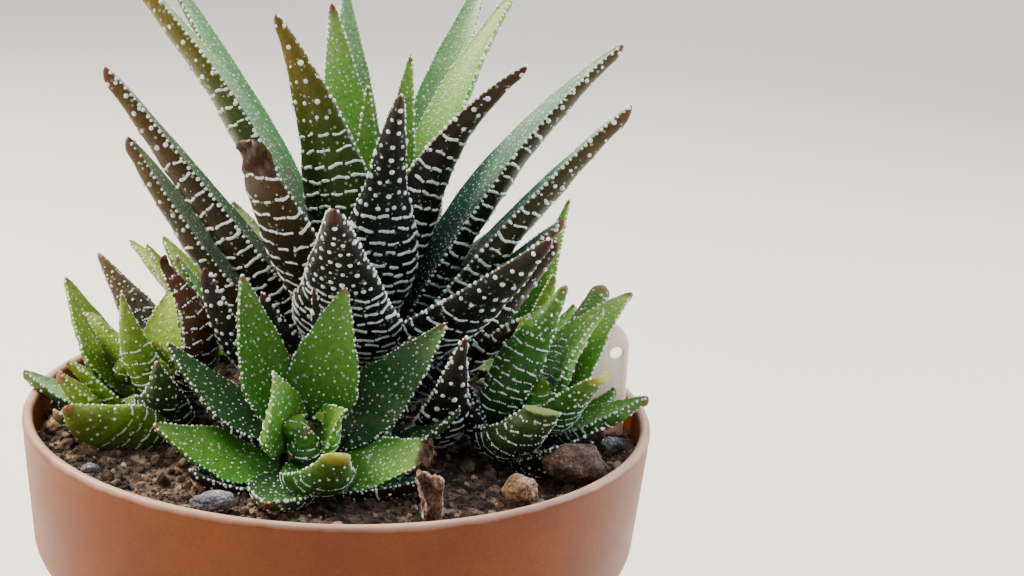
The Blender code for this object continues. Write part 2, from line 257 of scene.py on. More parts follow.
# Waxy succulent skin: a thin glossy wax over soft green flesh, so highlights are broad
# and light bleeds a little at the margins. v runs from root to tip; u is below 0.5 on
# the outer side of a leaf and above it on the inner side. The ramps darken towards the
# root: painted shade of the crowded rosette centre over the leaf's own colours.
skins = {
    "nightSkin": {  # dark green leaves deep in the middle rosette, painted almost black as the shade they stand in, darkest towards the root
        "outer": ("#06080B", "#0A0E10", "#101614", "#24221C"),
        "inner": ("#13241F", "#1F3A33", "#315247", "#4A6A55"),
        "tip": "#45231F", "dots": 0.25,
    },
    "mossSkin": {  # tall leaves that turn olive in the sun
        "outer": ("#0A100C", "#16240F", "#34460F", "#685A1C"),
        "inner": ("#223E26", "#3A5C38", "#66885A", "#94A66A"),
        "tip": "#5C3A24", "dots": 0.35,
    },
    "bronzeSkin": {  # dark brown outer sides, grey-green inner sides
        "outer": ("#080A07", "#120F07", "#28200B", "#4E3E18"),
        "inner": ("#1D3229", "#35523F", "#62805E", "#8C9C76"),
        "tip": "#5E3E30", "dots": 0.35,
    },
    "rustSkin": {  # a stressed leaf, red-brown all over
        "outer": ("#110C07", "#20160B", "#3A2812", "#54301C"),
        "inner": ("#1A1810", "#2E2614", "#4A361C", "#624426"),
        "tip": "#5A241A", "dots": 0.3,
    },
    "umberSkin": {  # olive brown, flushed red at the tips
        "outer": ("#090A09", "#121108", "#221C0E", "#40301A"),
        "inner": ("#1A2F2A", "#2B4A42", "#456B5E", "#68877A"),
        "tip": "#5A261A", "dots": 0.3,
    },
    "springSkin": {  # young leaves, light green
        "outer": ("#2F5A1A", "#3F701E", "#5A8A2A", "#7A9434"),
        "inner": ("#356420", "#487C28", "#5F9036", "#7E9E48"),
        "tip": "#6E4426", "dots": 0.4,
    },
    "duskSkin": {  # grey-green, on the far and lower leaves
        "outer": ("#101A14", "#1C2C1C", "#33502A", "#566A38"),
        "inner": ("#26462C", "#3E683E", "#5F8C58", "#84A672"),
        "tip": "#7A5A44", "dots": 0.4,
    },
    "seaSkin": {  # bluish inner sides over dark outer sides
        "outer": ("#080C0E", "#10160F", "#2A2A12", "#4C4222"),
        "inner": ("#14302B", "#264B42", "#42695A", "#64876F"),
        "tip": "#74463C", "dots": 0.45,
    },
    "fernSkin": {  # shaded deep green sides of the front pup
        "outer": ("#0C140C", "#152414", "#22381A", "#344A22"),
        "inner": ("#16301A", "#1F4020", "#2C4E28", "#3E5C34"),
        "tip": "#6A3A2C", "dots": 0.4,
    },
    "brightSkin": {  # front and right pups
        "outer": ("#173012", "#234A18", "#356420", "#52742C"),
        "inner": ("#28541A", "#36691E", "#467824", "#587F38"),
        "tip": "#7E4A30", "dots": 0.35,
    },
    "limeSkin": {  # left and back pups
        "outer": ("#33501A", "#4A6C1C", "#668826", "#84963A"),
        "inner": ("#4C701E", "#638624", "#7C9E2E", "#94A844"),
        "tip": "#74482C", "dots": 0.4,
    },
}


def leafSkin(name, look, tipColour, tip):
    made, tree, shader, body = newMaterial(name, {
        "Roughness": 0.42, "IOR": 1.4, "Specular IOR Level": 0.26,
        "Subsurface Weight": 0.1, "Subsurface Scale": 0.0015, "Subsurface Radius": (0.6, 1, 0.35),
    })
    leafMap = addNode(tree, "ShaderNodeUVMap", uv_map="leafMap").outputs["UV"]
    place = addNode(tree, "ShaderNodeSeparateXYZ", {"Vector": leafMap}).outputs
    blotch = noiseOf(tree, body, 260, 3)  # 4 mm clouds
    along = maths(tree, "ADD", place["Y"], maths(tree, "MULTIPLY_ADD", blotch, 0.16, -0.08))
    # both ramps darken towards the root as painted shade between the crowded leaves
    outer, inner = [rampOf(tree, along, (0.02, 0.2, 0.6, 0.92), look[side]) for side in ("outer", "inner")]
    colour = mixColours(tree, remapped(tree, place["X"], 0.485, 0.515), outer, inner)
    fine = noiseOf(tree, body, 1600, 2)  # 0.6 mm mottle
    colour = mixColours(tree, 1.0, colour, remapped(tree, fine, 0.3, 0.7, 0.78, 1.22), "MULTIPLY")
    # pale pin-head dots about 1 mm apart
    dots = remapped(tree, cellsOf(tree, body, 850)["Distance"], 0.24, 0.13, 0, look["dots"])
    colour = mixColours(tree, dots, colour, "#D9E4CF")
    ragged = maths(tree, "MULTIPLY_ADD", fine, 0.05, place["Y"])
    dry = remapped(tree, ragged, tip["dry"] + 0.03 - tip["fade"], tip["dry"] + 0.04)
    colour = mixColours(tree, dry, colour, tipColour)
    # faint grooves along the leaf and tiny dimples in the wax
    stretched = addNode(tree, "ShaderNodeMapping", {"Vector": leafMap, "Scale": (70, 3, 1)}).outputs[0]
    raised = maths(tree, "MULTIPLY_ADD", dots, 1.5, cellsOf(tree, body, 2600)["Distance"])
    relief = maths(tree, "MULTIPLY_ADD", noiseOf(tree, stretched, 1, 2), 0.9, raised)
    dress(tree, shader, colour, relief, 0.35, 0.12)
    return made


# cut flesh, healed flesh, and tissue that has dried brown
tipColours = {"cut": "#728246", "blunt": "#9C9C3C", "curled": "#3C2818"}
skinMaterials = {}


def skinOf(skin, tip):
    # one material for each skin and kind of tip, made when it is first asked for
    name = skin + tip.capitalize()
    if name not in skinMaterials:
        skinMaterials[name] = leafSkin(name, skins[skin], tipColours.get(tip, skins[skin]["tip"]), tips[tip])
    return skinMaterials[name]


print("leaf skins ready")


# ---- leaf shapes
leafGrid = {
    "along": 58,
    "aroundOuter": 22,
    "aroundInner": 14,
    "plump": 1.2,  # outer bulge against the CAD solid's
    "hollow": 0.2,
    "capStart": 0.965,  # where the rounded shoulder of a cut end starts
    "capRows": 8,
    "hookFrom": 0.78,
    "pinchFrom": 0.35,
    "witherFrom": 0.86,
}
cadLeaf = {"ring": 9, "stations": 8}  # points in a ring, rings in a leaf


def smoothCurve(knots, values, at):
    # cubic through the knots with finite-difference slopes
    values = np.asarray(values, float)
    slopes = np.gradient(values, knots, axis=0)
    index = np.clip(np.searchsorted(knots, at) - 1, 0, len(knots) - 2)
    span = knots[index + 1] - knots[index]
    x = (at - knots[index]) / span
    shape = (-1,) + (1,) * (values.ndim - 1)
    x, span = x.reshape(shape), span.reshape(shape)
    return ((1 + 2 * x) * (1 - x) ** 2 * values[index] + x * (1 - x) ** 2 * span * slopes[index]
            + x * x * (3 - 2 * x) * values[index + 1] + x * x * (x - 1) * span * slopes[index + 1])


def unit(vectors):
    return vectors / np.maximum(np.linalg.norm(vectors, axis=-1, keepdims=True), 1e-12)


def cadRings(node):
    # a CAD leaf's rings from root to tip, found by walking down from its tip, and the tip
    shape = bmesh.new()
    shape.from_mesh(node.data)
    bmesh.ops.remove_doubles(shape, verts=shape.verts, dist=1e-6)
    shape.verts.index_update()
    root = min(shape.verts, key=lambda v: v.co.z)
    ends = [v for v in shape.verts if len(v.link_edges) == cadLeaf["ring"]]
    tip = max(ends, key=lambda v: (v.co - root.co).length)
    seen, rings, edge = {tip}, [], [tip]
    while len(rings) < cadLeaf["stations"]:
        near = {e.other_vert(v) for v in edge for e in v.link_edges}
        edge = sorted(near - seen, key=lambda v: v.index)
        if not edge:
            break
        seen.update(edge)
        rings.append(np.array([v.co[:] for v in edge]))
    tipPoint = np.array(tip.co[:])
    shape.free()
    return rings[::-1], tipPoint


def spineOfNode(node):
    # middle of the margins, broad and outer directions, half width and depth at each ring
    rings, tip = cadRings(node)
    spread = [np.linalg.norm(r.max(0) - r.min(0)) for r in rings]
    widest = int(np.argmax(spread))
    ring = rings[widest]
    gaps = np.linalg.norm(ring[:, None] - ring[None], axis=2)
    a, b = np.unravel_index(gaps.argmax(), gaps.shape)
    broad = unit(ring[a] - ring[b])
    broad = broad * np.sign(broad @ (1, 0.37, 0.11))  # the same margin first on every run
    rows = [None] * len(rings)
    for order in (range(widest, -1, -1), range(widest + 1, len(rings))):
        guide = broad if order.start == widest else rows[widest][1]
        for k in order:
            ring = rings[k]
            reach = ring @ guide
            low, high = ring[reach.argmin()], ring[reach.argmax()]
            middle, across = (low + high) / 2, unit(high - low)
            lift = ring.mean(0) - middle
            lift = unit(lift - across * (lift @ across))
            rows[k] = (middle, across, lift, np.linalg.norm(high - low) / 2, ((ring - middle) @ lift).max())
            guide = across
    return closeSpine(rows, tip)


def closeSpine(rows, tip):
    middle = np.array([r[0] for r in rows] + [tip])
    steps = np.linalg.norm(np.diff(middle, axis=0), axis=1)
    place = np.concatenate([[0], np.cumsum(steps)])
    along, half = middle[-1] - middle[0], len(rows) // 2
    return {
        "hand": math.copysign(1, np.cross(rows[half][1], along) @ rows[half][2]),
        "length": place[-1],
        "place": place / place[-1],
        "middle": middle,
        "broad": np.array([r[1] for r in rows] + [rows[-1][1]]),
        "outer": np.array([r[2] for r in rows] + [rows[-1][2]]),
        "half": np.array([r[3] for r in rows]),
        "depth": np.array([r[4] for r in rows]),
    }


def spineOfPlan(base, stemRadius, plan):
    # a leaf that has no CAD solid: the same kind of spine from its own sizes, in mm and degrees
    facing, tipX, tipY, tipZ, bow, roll, width, thick, rootHeight, endShare = plan
    facing, roll = math.radians(facing), math.radians(roll)
    outward = Vector((math.cos(facing), math.sin(facing), 0))
    side = Vector((-outward.y, outward.x, 0))
    rootOut = stemRadius + 0.35 + 0.3 * thick
    root = base + (outward * rootOut + Vector((0, 0, rootHeight))) * mm
    tip = base + Vector((tipX, tipY, tipZ)) * mm
    chord = (tip - root).normalized()
    control = (root + tip) / 2 - 2 * bow * mm * side.cross(chord).normalized()
    rows = []
    for k in range(cadLeaf["stations"]):
        t = 0.94 * k / (cadLeaf["stations"] - 1)
        middle = (1 - t) ** 2 * root + 2 * t * (1 - t) * control + t * t * tip
        along = ((1 - t) * (control - root) + t * (tip - control)).normalized()
        broad = (side - along * side.dot(along)).normalized()
        broad.rotate(Quaternion(along, roll))
        outer = broad.cross(along)
        swell = 0.42 + 0.58 * math.sin(min(t / 0.36, 1) * math.pi / 2)
        past = max(0, (t - 0.36) / 0.58)
        half = swell * (1 - (1 - endShare) * past ** 1.25) * width * mm / 2
        depth = (0.5 + 0.5 * math.sin(min(t / 0.3, 1) * math.pi / 2)) * (1 - 0.72 * t ** 1.6) * thick * mm
        rows.append((np.array(middle[:]), np.array(broad[:]), np.array(outer[:]), half, depth))
    return closeSpine(rows, np.array(tip[:]))


def spineAt(spine, v):
    # everything the surface needs at shares v of the length
    knots, tip = spine["place"], tips[spine["tip"]]
    last = knots[-2]
    inBody = np.clip(v, 0, last)
    half = smoothCurve(knots[:-1], spine["half"], inBody)
    depth = smoothCurve(knots[:-1], spine["depth"], inBody)
    close = np.clip((v - last) / (1 - last), 0, 1)
    taper = (1 - close ** tip["power"]) ** tip["round"]
    ripple = 1 + 0.025 * np.sin(v * 23 + spine["seed"]) + 0.015 * np.sin(v * 51 + 2 * spine["seed"])
    broad = unit(smoothCurve(knots, spine["broad"], v))
    outer = smoothCurve(knots, spine["outer"], v)
    outer = unit(outer - broad * (outer * broad).sum(-1, keepdims=True))
    hookFrom, pinchFrom = leafGrid["hookFrom"], leafGrid["pinchFrom"]
    bend = np.clip((v - hookFrom) / (1 - hookFrom), 0, 1) ** 2 * spine["hook"] * mm
    middle = smoothCurve(knots, spine["middle"], v) - outer * bend[:, None]
    share = np.clip(v, 0, 1)[:, None]
    middle = middle + share ** 1.5 * spine["tipMove"] * mm + (1 - share) ** 1.5 * spine["rootMove"] * mm
    middle = middle + np.sin(np.pi * share) * spine["midMove"] * mm
    # the roll turns the leaf about its length, anticlockwise seen from its tip
    roll = spine["hand"] * math.radians(spine["roll"])
    turn, lean = math.cos(roll), math.sin(roll)
    broad, outer = broad * turn - outer * lean, outer * turn + broad * lean
    waist = np.sin(np.pi * np.clip((v - pinchFrom) / (1 - pinchFrom), 0, 1))
    taper = taper * ripple * (1 - spine["pinch"] * waist)
    taper = taper * (1 - spine["narrow"] * np.clip(v, 0, 1) ** 1.5)
    return middle, broad, outer, half * taper * spine["widen"], depth * taper * spine["plump"]


def leafSurface(spine, side, a, v):
    # points on the outer or the inner side; a runs from margin to margin
    middle, broad, outer, half, depth = spineAt(spine, v)
    across = np.cos(np.pi * a) * half
    if side == "outer":
        out = depth * np.sin(np.pi * a) ** 0.9
    else:
        out = leafGrid["hollow"] * depth * np.sin(np.pi * a) ** 2
    if spine["tip"] == "curled":  # withered end, crumpled like dry paper
        wither = np.clip((v - leafGrid["witherFrom"]) / 0.08, 0, 1)
        crumple = np.sin(a * 11 + v * 60 + spine["seed"]) + 0.7 * np.sin(a * 23 - v * 90)
        across = across * (1 + 0.16 * wither * crumple)
        out = out * (1 - 0.25 * wither) + 0.22 * half * wither * crumple * np.sin(np.pi * a)
    return middle + broad * across[:, None] + outer * out[:, None]


def leafFrames(spine, side, a, v):
    # points with their outward normals and their way across the leaf
    step = 0.004
    a, v = np.clip(a, step, 1 - step), np.clip(v, step, 1 - step)
    acrossWay = leafSurface(spine, side, a + step, v) - leafSurface(spine, side, a - step, v)
    lengthWay = leafSurface(spine, side, a, v + step) - leafSurface(spine, side, a, v - step)
    normal = unit(np.cross(acrossWay, lengthWay))
    point = leafSurface(spine, side, a, v)
    middle, broad, outer, half, depth = spineAt(spine, v)
    heart = middle + outer * (depth * 0.25)[:, None]
    turned = (normal * (point - heart)).sum(-1, keepdims=True) < 0
    if side == "inner":
        turned = (normal * outer).sum(-1, keepdims=True) > 0
    return point, np.where(turned, -normal, normal), unit(acrossWay)


def leafPiece(name, spine, skin):
    rows = leafGrid["along"]
    v = 1 - (1 - np.linspace(0, 1, rows + 1)[:-1]) ** 1.2
    if spine["tip"] == "cut":
        start, capRows = leafGrid["capStart"], leafGrid["capRows"]
        cap = 1 - (1 - start) * np.linspace(0.9, 0.01, capRows) ** 2
        v = np.concatenate([np.linspace(0, start, rows - capRows), cap])
    outerA = np.linspace(0, 1, leafGrid["aroundOuter"] + 1)
    innerA = np.linspace(1, 0, leafGrid["aroundInner"] + 1)[1:-1]
    ring = len(outerA) + len(innerA)
    rings = []
    for value in v:
        onOuter = leafSurface(spine, "outer", outerA, np.full(len(outerA), value))
        onInner = leafSurface(spine, "inner", innerA, np.full(len(innerA), value))
        rings.append(np.concatenate([onOuter, onInner]))
    tipPoint = spineAt(spine, np.array([1.0]))[0]
    points = np.concatenate(rings + [tipPoint, rings[0].mean(0, keepdims=True)])
    tipIndex, rootIndex = len(points) - 2, len(points) - 1
    faces, uv = [], []
    around = np.concatenate([outerA * 0.5, 1 - innerA * 0.5, [1.0]])
    for k in range(rows - 1):
        for i in range(ring):
            j = (i + 1) % ring
            faces.append((k * ring + i, k * ring + j, (k + 1) * ring + j, (k + 1) * ring + i))
            uv += [(around[i], v[k]), (around[i + 1], v[k]), (around[i + 1], v[k + 1]), (around[i], v[k + 1])]
    for i in range(ring):
        j = (i + 1) % ring
        faces.append(((rows - 1) * ring + i, (rows - 1) * ring + j, tipIndex))
        uv += [(around[i], v[-1]), (around[i + 1], v[-1]), (around[i], 1)]
        faces.append((j, i, rootIndex))
        uv += [(around[i + 1], 0), (around[i], 0), (around[i], 0)]
    piece = meshPiece(name, points, faces, skinOf(skin, spine["tip"]))
    layer = piece.data.uv_layers.new(name="leafMap")
    layer.data.foreach_set("uv", np.array(uv, np.float32).ravel())
    return faceOutward(piece)


# ---- tubercles: white wax warts, merged into cross bands low on a leaf and single near its tip
growths = {
    "main": {
        "firstGap": 1.7, "lastGap": 2.9,  # mm between bands at the root and near the tip
        "dash": (1.1, 3.6), "dashGap": 0.75, "wave": 0.17, "beadFrom": 0.66,
        "girth": 0.48, "bead": 0.82, "beadStep": 1.45, "specks": 0.6,
        "tooth": 0.55, "toothGap": 0.9, "dot": 0.3, "dotGap": 1.1,
    },
    "frosted": {  # the front leaves of the middle rosette, thick with warts up to the tip
        "firstGap": 1.4, "lastGap": 2.1,
        "dash": (0.9, 2.6), "dashGap": 0.65, "wave": 0.2, "beadFrom": 0.6,
        "girth": 0.52, "bead": 0.78, "beadStep": 1.3, "specks": 0.6,
        "tooth": 0.55, "toothGap": 0.85, "dot": 0.3, "dotGap": 1.1,
    },
    "pup": {
        "firstGap": 1.15, "lastGap": 1.8,
        "dash": (0.6, 2.2), "dashGap": 0.6, "wave": 0.1, "beadFrom": 0.6,
        "girth": 0.3, "bead": 0.46, "beadStep": 1.1, "specks": 0.9,
        "tooth": 0.4, "toothGap": 0.62, "dot": 0.26, "dotGap": 1.15,
    },
}


class Warts:
    # points and lines on leaves, gathered for one bead piece
    def __init__(self):
        self.points, self.lifts, self.ways, self.girths, self.edges = [], [], [], [], []
        self.count = 0

    def add(self, frames, girths, lines=()):
        points, normals, ways = frames
        self.points.append(points)
        self.lifts.append(normals)
        self.ways.append(ways)
        self.girths.append(girths)
        for first, last in lines:
            self.edges += [(self.count + i, self.count + i + 1) for i in range(first, last)]
        self.count += len(points)


def bandWarts(warts, spine, growth, rng):
    lineA, lineV, lines, girths = [], [], [], []
    beadA, beadV, beadSize = [], [], []
    length = spine["length"] / mm
    at = rng.uniform(0.8, 1.6) + 0.05 * length
    arcA = np.linspace(0, 1, 25)
    stop = tips[spine["tip"]]["dry"] - 0.01
    while at / length < stop:
        v = at / length
        ring = leafSurface(spine, "outer", arcA, np.full(25, v))
        arc = np.concatenate([[0], np.cumsum(np.linalg.norm(np.diff(ring, axis=0), axis=1))]) / mm
        phase = rng.uniform(0, 6.28, 3)
        wave = growth["wave"] * (0.6 + v)
        if spine["tip"] in ("cut", "curled") or v < growth["beadFrom"] + rng.uniform(-0.06, 0.06):
            s = rng.uniform(0.25, 0.9)
            while s < arc[-1] - 0.4:
                shrink = 1.15 - 0.85 * v
                dash = min(rng.uniform(*growth["dash"]) * shrink, arc[-1] - 0.3 - s)
                count = max(2, int(dash / 0.3))
                run = np.linspace(s, s + max(dash, 0.05), count)
                sway = wave * (np.sin(run * 0.8 + phase[0]) + 0.7 * np.sin(run * 2.3 + phase[1]))
                sway = sway + rng.uniform(-0.16, 0.16)
                lines.append((len(lineA), len(lineA) + count - 1))
                lineA += list(np.interp(run, arc, arcA))
                lineV += list((at + sway) / length)
                thick = growth["girth"] * rng.uniform(0.85, 1.15)
                girths += list(thick * (1 + 0.18 * np.sin(run * 5 + phase[2])))
                s += dash + growth["dashGap"] * rng.uniform(0.7, 1.7)
        else:
            s = rng.uniform(0.2, 0.8)
            while s < arc[-1] - 0.2:
                beadA.append(float(np.interp(s, arc, arcA)))
                beadV.append((at + rng.uniform(-0.35, 0.35)) / length)
                beadSize.append(growth["bead"] * rng.uniform(0.7, 1.15) * (1.1 - 0.25 * v))
                s += growth["beadStep"] * rng.uniform(0.75, 1.5)
        share = min(1, v / 0.8)
        gap = growth["firstGap"] + (growth["lastGap"] - growth["firstGap"]) * share
        at += gap * rng.uniform(0.88, 1.12)
    if lineA:
        warts.add(leafFrames(spine, "outer", np.array(lineA), np.array(lineV)), np.array(girths), lines)
    # a few specks between the bands
    specks = int(length * growth["specks"])
    beadA += list(rng.uniform(0.08, 0.92, specks))
    beadV += list(rng.uniform(0.1, 0.85, specks))
    beadSize += list(rng.uniform(0.14, 0.3, specks))
    warts.add(leafFrames(spine, "outer", np.array(beadA), np.array(beadV)), np.array(beadSize))


def marginTeeth(warts, spine, growth, rng):
    length = spine["length"] / mm
    count = int(0.9 * length / growth["toothGap"])
    for a in (0.012, 0.988):
        v = np.linspace(0.06, tips[spine["tip"]]["dry"] + 0.005, count)
        v = v + rng.uniform(-0.25, 0.25, count) / length
        size = growth["tooth"] * rng.uniform(0.65, 1.2, count)
        warts.add(leafFrames(spine, "outer", np.full(count, a), v), size)


def innerDots(warts, spine, growth, rng):
    length = spine["length"] / mm
    dotA, dotV = [], []
    for k in range(int(0.84 * length / growth["dotGap"])):
        v = 0.1 + k * growth["dotGap"] / length
        half = spineAt(spine, np.array([v]))[3][0] / mm
        places = np.arange(-half + 0.5 + (k % 2) * growth["dotGap"] / 2, half - 0.4, growth["dotGap"])
        for place in places:
            if rng.uniform() < 0.82:
                share = np.clip((place + rng.uniform(-0.3, 0.3)) / half, -0.98, 0.98)
                dotA.append(math.acos(share) / math.pi)
                dotV.append(v + rng.uniform(-0.3, 0.3) * growth["dotGap"] / length)
    if dotA:
        size = growth["dot"] * rng.uniform(0.6, 1.3, len(dotA))
        warts.add(leafFrames(spine, "inner", np.array(dotA), np.array(dotV)), size)


def interfaceOf(tree, sockets):
    # named inputs with their defaults, and one geometry output
    for label, kind, value in sockets:
        socket = tree.interface.new_socket(label, in_out="INPUT", socket_type="NodeSocket" + kind)
        if value is not None:
            socket.default_value = value
    tree.interface.new_socket("Geometry", in_out="OUTPUT", socket_type="NodeSocketGeometry")
    return addNode(tree, "NodeGroupInput").outputs


def scatter(tree, points, instance, rotation, scale, material):
    # instances made real, in one material, as the tree's output
    many = addNode(tree, "GeometryNodeInstanceOnPoints", {
        "Points": points, "Instance": instance, "Rotation": rotation, "Scale": scale})
    whole = addNode(tree, "GeometryNodeRealizeInstances", {0: many.outputs[0]})
    dressed = addNode(tree, "GeometryNodeSetMaterial", {"Geometry": whole.outputs[0], "Material": material})
    addNode(tree, "NodeGroupOutput", {0: dressed.outputs[0]})
    return tree


def randomOf(tree, low, high, seed):
    # a number between two sockets, or a vector between two triples
    if isinstance(high, tuple):
        made = addNode(tree, "FunctionNodeRandomValue", {"Min": low, "Max": high, "Seed": seed},
                       data_type="FLOAT_VECTOR")
        return made.outputs[0]
    made = addNode(tree, "FunctionNodeRandomValue", {"Min_001": low, "Max_001": high, "Seed": seed},
                   data_type="FLOAT")
    return socketOf(made.outputs, "Value_001")


def wartTree():
    tree = bpy.data.node_groups.new("warts", "GeometryNodeTree")
    given = interfaceOf(tree, (
        ("Geometry", "Geometry", None), ("Spacing", "Float", 0.00027), ("Size Spread", "Float", 0.14),
        ("Flatness", "Float", 0.72), ("Seed", "Int", 3), ("Material", "Material", None),
    ))
    lines = addNode(tree, "GeometryNodeMeshToCurve", {"Mesh": given["Geometry"]})
    lines = addNode(tree, "GeometryNodeResampleCurve", {
        "Curve": lines.outputs[0], "Length": given["Spacing"]}, mode="LENGTH")
    lines = addNode(tree, "GeometryNodeCurveToPoints", {"Curve": lines.outputs[0]}, mode="EVALUATED")
    neighbours = addNode(tree, "GeometryNodeInputMeshVertexNeighbors")
    alone = addNode(tree, "FunctionNodeCompare", {"A_INT": neighbours.outputs["Vertex Count"], "B_INT": 0},
                    data_type="INT", operation="EQUAL")
    singles = addNode(tree, "GeometryNodeMeshToPoints", {
        "Mesh": given["Geometry"], "Selection": alone.outputs[0]})
    both = addNode(tree, "GeometryNodeJoinGeometry", {0: lines.outputs[0]})
    tree.links.new(singles.outputs[0], both.inputs[0])
    bead = addNode(tree, "GeometryNodeMeshUVSphere", {"Segments": 7, "Rings": 4, "Radius": 0.5})
    bead = addNode(tree, "GeometryNodeSetShadeSmooth", {"Geometry": bead.outputs["Mesh"]})
    lift, way, girth = [
        addNode(tree, "GeometryNodeInputNamedAttribute", {"Name": label}, data_type=kind).outputs[0]
        for label, kind in (("lift", "FLOAT_VECTOR"), ("way", "FLOAT_VECTOR"), ("girth", "FLOAT"))]
    turn = addNode(tree, "FunctionNodeAxesToRotation", {"Primary Axis": lift, "Secondary Axis": way},
                   primary_axis="Z", secondary_axis="X")
    least = maths(tree, "SUBTRACT", 1.0, given["Size Spread"])
    most = maths(tree, "ADD", 1.0, given["Size Spread"])
    size = maths(tree, "MULTIPLY", girth, randomOf(tree, least, most, given["Seed"]))
    flat = maths(tree, "MULTIPLY", size, given["Flatness"])
    scale = addNode(tree, "ShaderNodeCombineXYZ", {"X": size, "Y": size, "Z": flat})
    return scatter(
        tree, both.outputs[0], bead.outputs[0], turn.outputs[0], scale.outputs[0], given["Material"])


def grown(source, tree, values):
    # runs a node tree on a source object and returns the result as a plain mesh piece
    modifier = source.modifiers.new("grow", "NODES")
    modifier.node_group = tree
    for item in tree.interface.items_tree:
        if item.in_out == "INPUT" and item.name in values:
            modifier[item.identifier] = values[item.name]
    mesh = finalMesh(source)
    name, seed = source.name, source.data
    bpy.data.objects.remove(source)
    bpy.data.meshes.remove(seed)
    mesh.name = name
    for label in [a.name for a in mesh.attributes if a.name in ("lift", "way", "girth")]:
        mesh.attributes.remove(mesh.attributes[label])
    print(name, len(mesh.polygons), "faces")
    return newObject(name, mesh)


def waxMaterial():
    # wax warts: matt white, a little see-through where they are thin, with green showing between grains
    made, tree, shader, body = newMaterial("waxTubercle", {
        "Roughness": 0.55, "IOR": 1.45, "Subsurface Weight": 0.15, "Subsurface Scale": 0.0005})
    share = remapped(tree, noiseOf(tree, body, 900, 2), 0.35, 0.6)  # about 1 mm patches
    dress(tree, shader, mixColours(tree, share, "#D2DBD6", "#FBFCFD"))
    return made


wax = waxMaterial()
warty = wartTree()


def wartPiece(name, warts, seed):
    mesh = bpy.data.meshes.new(name)
    mesh.from_pydata(np.concatenate(warts.points).tolist(), warts.edges, [])
    for label, kind, field, values in (
            ("lift", "FLOAT_VECTOR", "vector", warts.lifts), ("way", "FLOAT_VECTOR", "vector", warts.ways),
            ("girth", "FLOAT", "value", [g * mm for g in warts.girths])):
        layer = mesh.attributes.new(label, kind, "POINT")
        layer.data.foreach_set(field, np.concatenate(values).astype(np.float32).ravel())
    finishPiece(grown(newObject(name, mesh), warty, {"Seed": seed, "Material": wax}))


